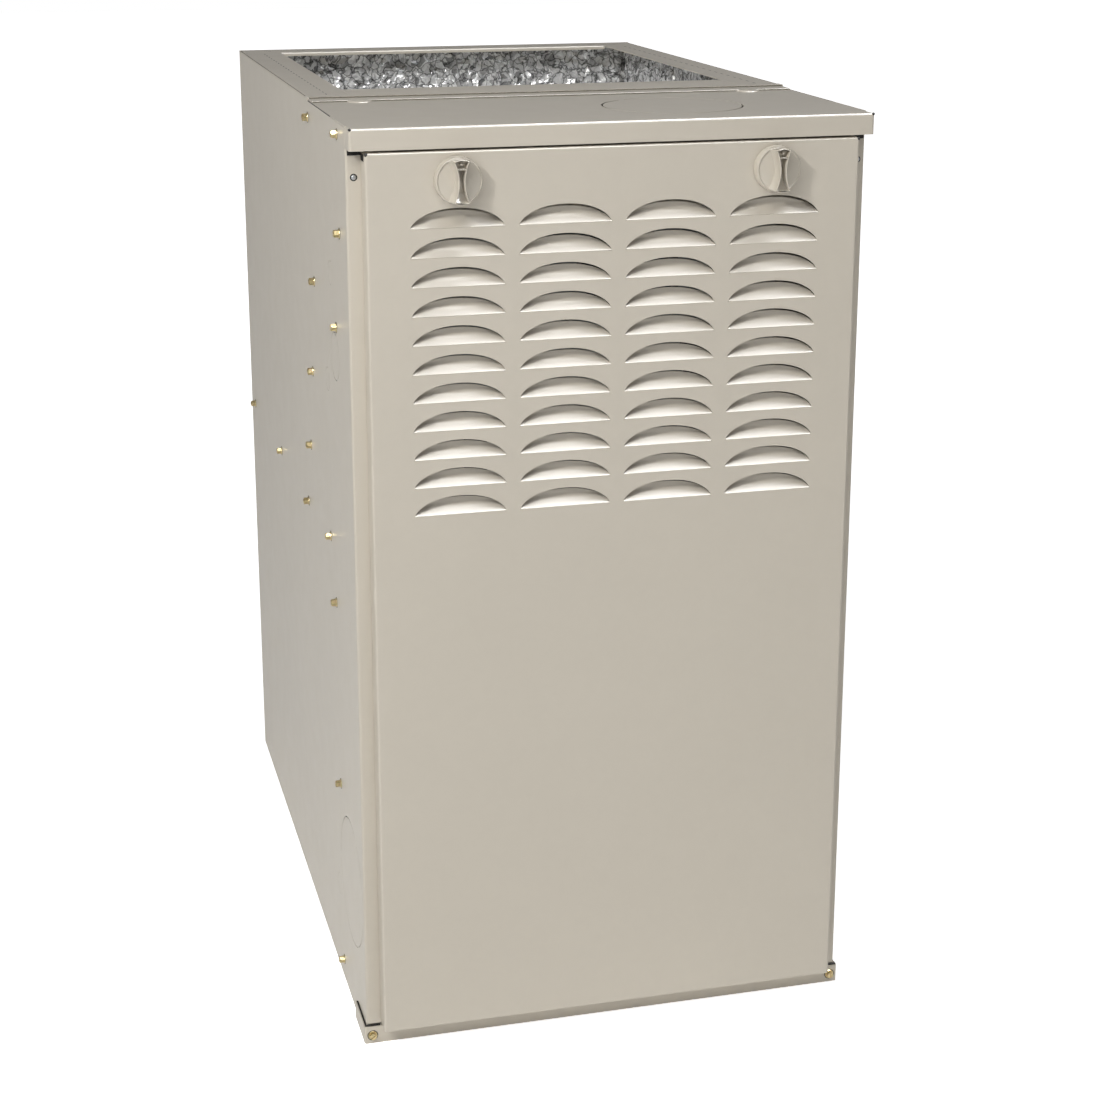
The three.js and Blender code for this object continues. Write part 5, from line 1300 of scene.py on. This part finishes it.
def pale_floor():
    """Floor that a camera ray sees as white away from the object, and that keeps the shadow beside it."""
    mesh = bpy.data.meshes.new("floor")
    corners = [(-1, -1), (1, -1), (1, 1), (-1, 1)]
    mesh.from_pydata([(x * FLOOR_SPAN, y * FLOOR_SPAN, 0) for x, y in corners], [], [(0, 1, 2, 3)])
    floor = linked("floor", mesh)
    pale = Finish("pale floor", (0.86, 0.86, 0.86), 0.75)
    tones = [(0.3, (0.85, 0.85, 0.85)), (0.7, (0.87, 0.87, 0.87))]
    pale.wire("Base Color", pale.ramp(pale.noise(1.5), tones))
    seen = pale.node("ShaderNodeLightPath").outputs["Is Camera Ray"]
    away = pale.node("ShaderNodeVectorMath", operation="LENGTH")
    pale.feed(away.inputs[0], pale.place)
    glow = FLOOR_GLOW
    lift = pale.spread(away.outputs["Value"], glow["seen_near"], glow["seen_far"], glow["from"], glow["to"])
    shown = pale.node("ShaderNodeMath", operation="MULTIPLY")
    pale.feed(shown.inputs[0], seen)
    pale.feed(shown.inputs[1], lift)
    pale.set("Emission Color", WHITE)
    strength = pale.node("ShaderNodeMath", operation="MAXIMUM")
    pale.feed(strength.inputs[0], shown.outputs[0])
    pale.feed(strength.inputs[1], glow["unseen"])
    pale.wire("Emission Strength", strength.outputs[0])
    mesh.materials.append(pale.material)


def backdrop():
    """World that a camera ray sees as white, and that lights the object from a pale sky."""
    world = bpy.data.worlds.new("studio")
    bpy.context.scene.world = world
    world.use_nodes = True
    tree = world.node_tree
    tree.nodes.clear()
    out = tree.nodes.new("ShaderNodeOutputWorld")
    seen, light = tree.nodes.new("ShaderNodeBackground"), tree.nodes.new("ShaderNodeBackground")
    seen.inputs[0].default_value, seen.inputs[1].default_value = WHITE, 1.0
    light.inputs[1].default_value = WORLD_LIGHT
    place = tree.nodes.new("ShaderNodeTexCoord")
    split = tree.nodes.new("ShaderNodeSeparateXYZ")
    tree.links.new(place.outputs["Generated"], split.inputs[0])
    sky = tree.nodes.new("ShaderNodeValToRGB")
    level, zenith = sky.color_ramp.elements
    level.position, level.color = 0.0, (0.80, 0.80, 0.82, 1)
    zenith.position, zenith.color = 0.85, (0.74, 0.74, 0.74, 1)
    tree.links.new(split.outputs[2], sky.inputs[0])
    tree.links.new(sky.outputs[0], light.inputs[0])
    mix = tree.nodes.new("ShaderNodeMixShader")
    path = tree.nodes.new("ShaderNodeLightPath")
    tree.links.new(path.outputs["Is Camera Ray"], mix.inputs[0])
    tree.links.new(light.outputs[0], mix.inputs[1])
    tree.links.new(seen.outputs[0], mix.inputs[2])
    tree.links.new(mix.outputs[0], out.inputs[0])


def lamp(name, place, aim, size, power, gloss=False):
    """A soft box. One for gloss alone only shows as a highlight on bends and ramps."""
    data = bpy.data.lights.new(name, "AREA")
    data.shape, data.energy = "RECTANGLE", power
    data.size, data.size_y = size
    made = linked(name, data)
    made.location = place
    made.visible_diffuse = not gloss
    made.rotation_euler = (Vector(aim) - Vector(place)).to_track_quat("-Z", "Y").to_euler()


def studio():
    pale_floor()
    backdrop()
    lamp("key", (-1.9, -1.75, 2.2), (0, -0.35, 0.5), (0.2, 0.2), 35)
    lamp("overhead", (0.7, -0.85, 3.0), (0.6, -0.75, 0.6), (2.8, 1.6), 360, gloss=True)
    lamp("front_top", (-1.0, -2.2, 2.75), (0, -0.38, 0.45), (1.8, 1.0), 29)
    lamp("low_front", (0.1, -3.0, 0.22), (0, -0.38, 0.12), (2.4, 0.3), 3)
    bpy.context.scene.view_settings.view_transform = "Standard"


# ---------------------------------------------------------------- making it all

place_camera()
dress_nodes()
casing()
casing_screws()
bend_lines()
door()
for side, label in ((-1, "left"), (1, "right")):
    latch_knob(side, label)
crushed_liners()
exchanger_cells()
studio()
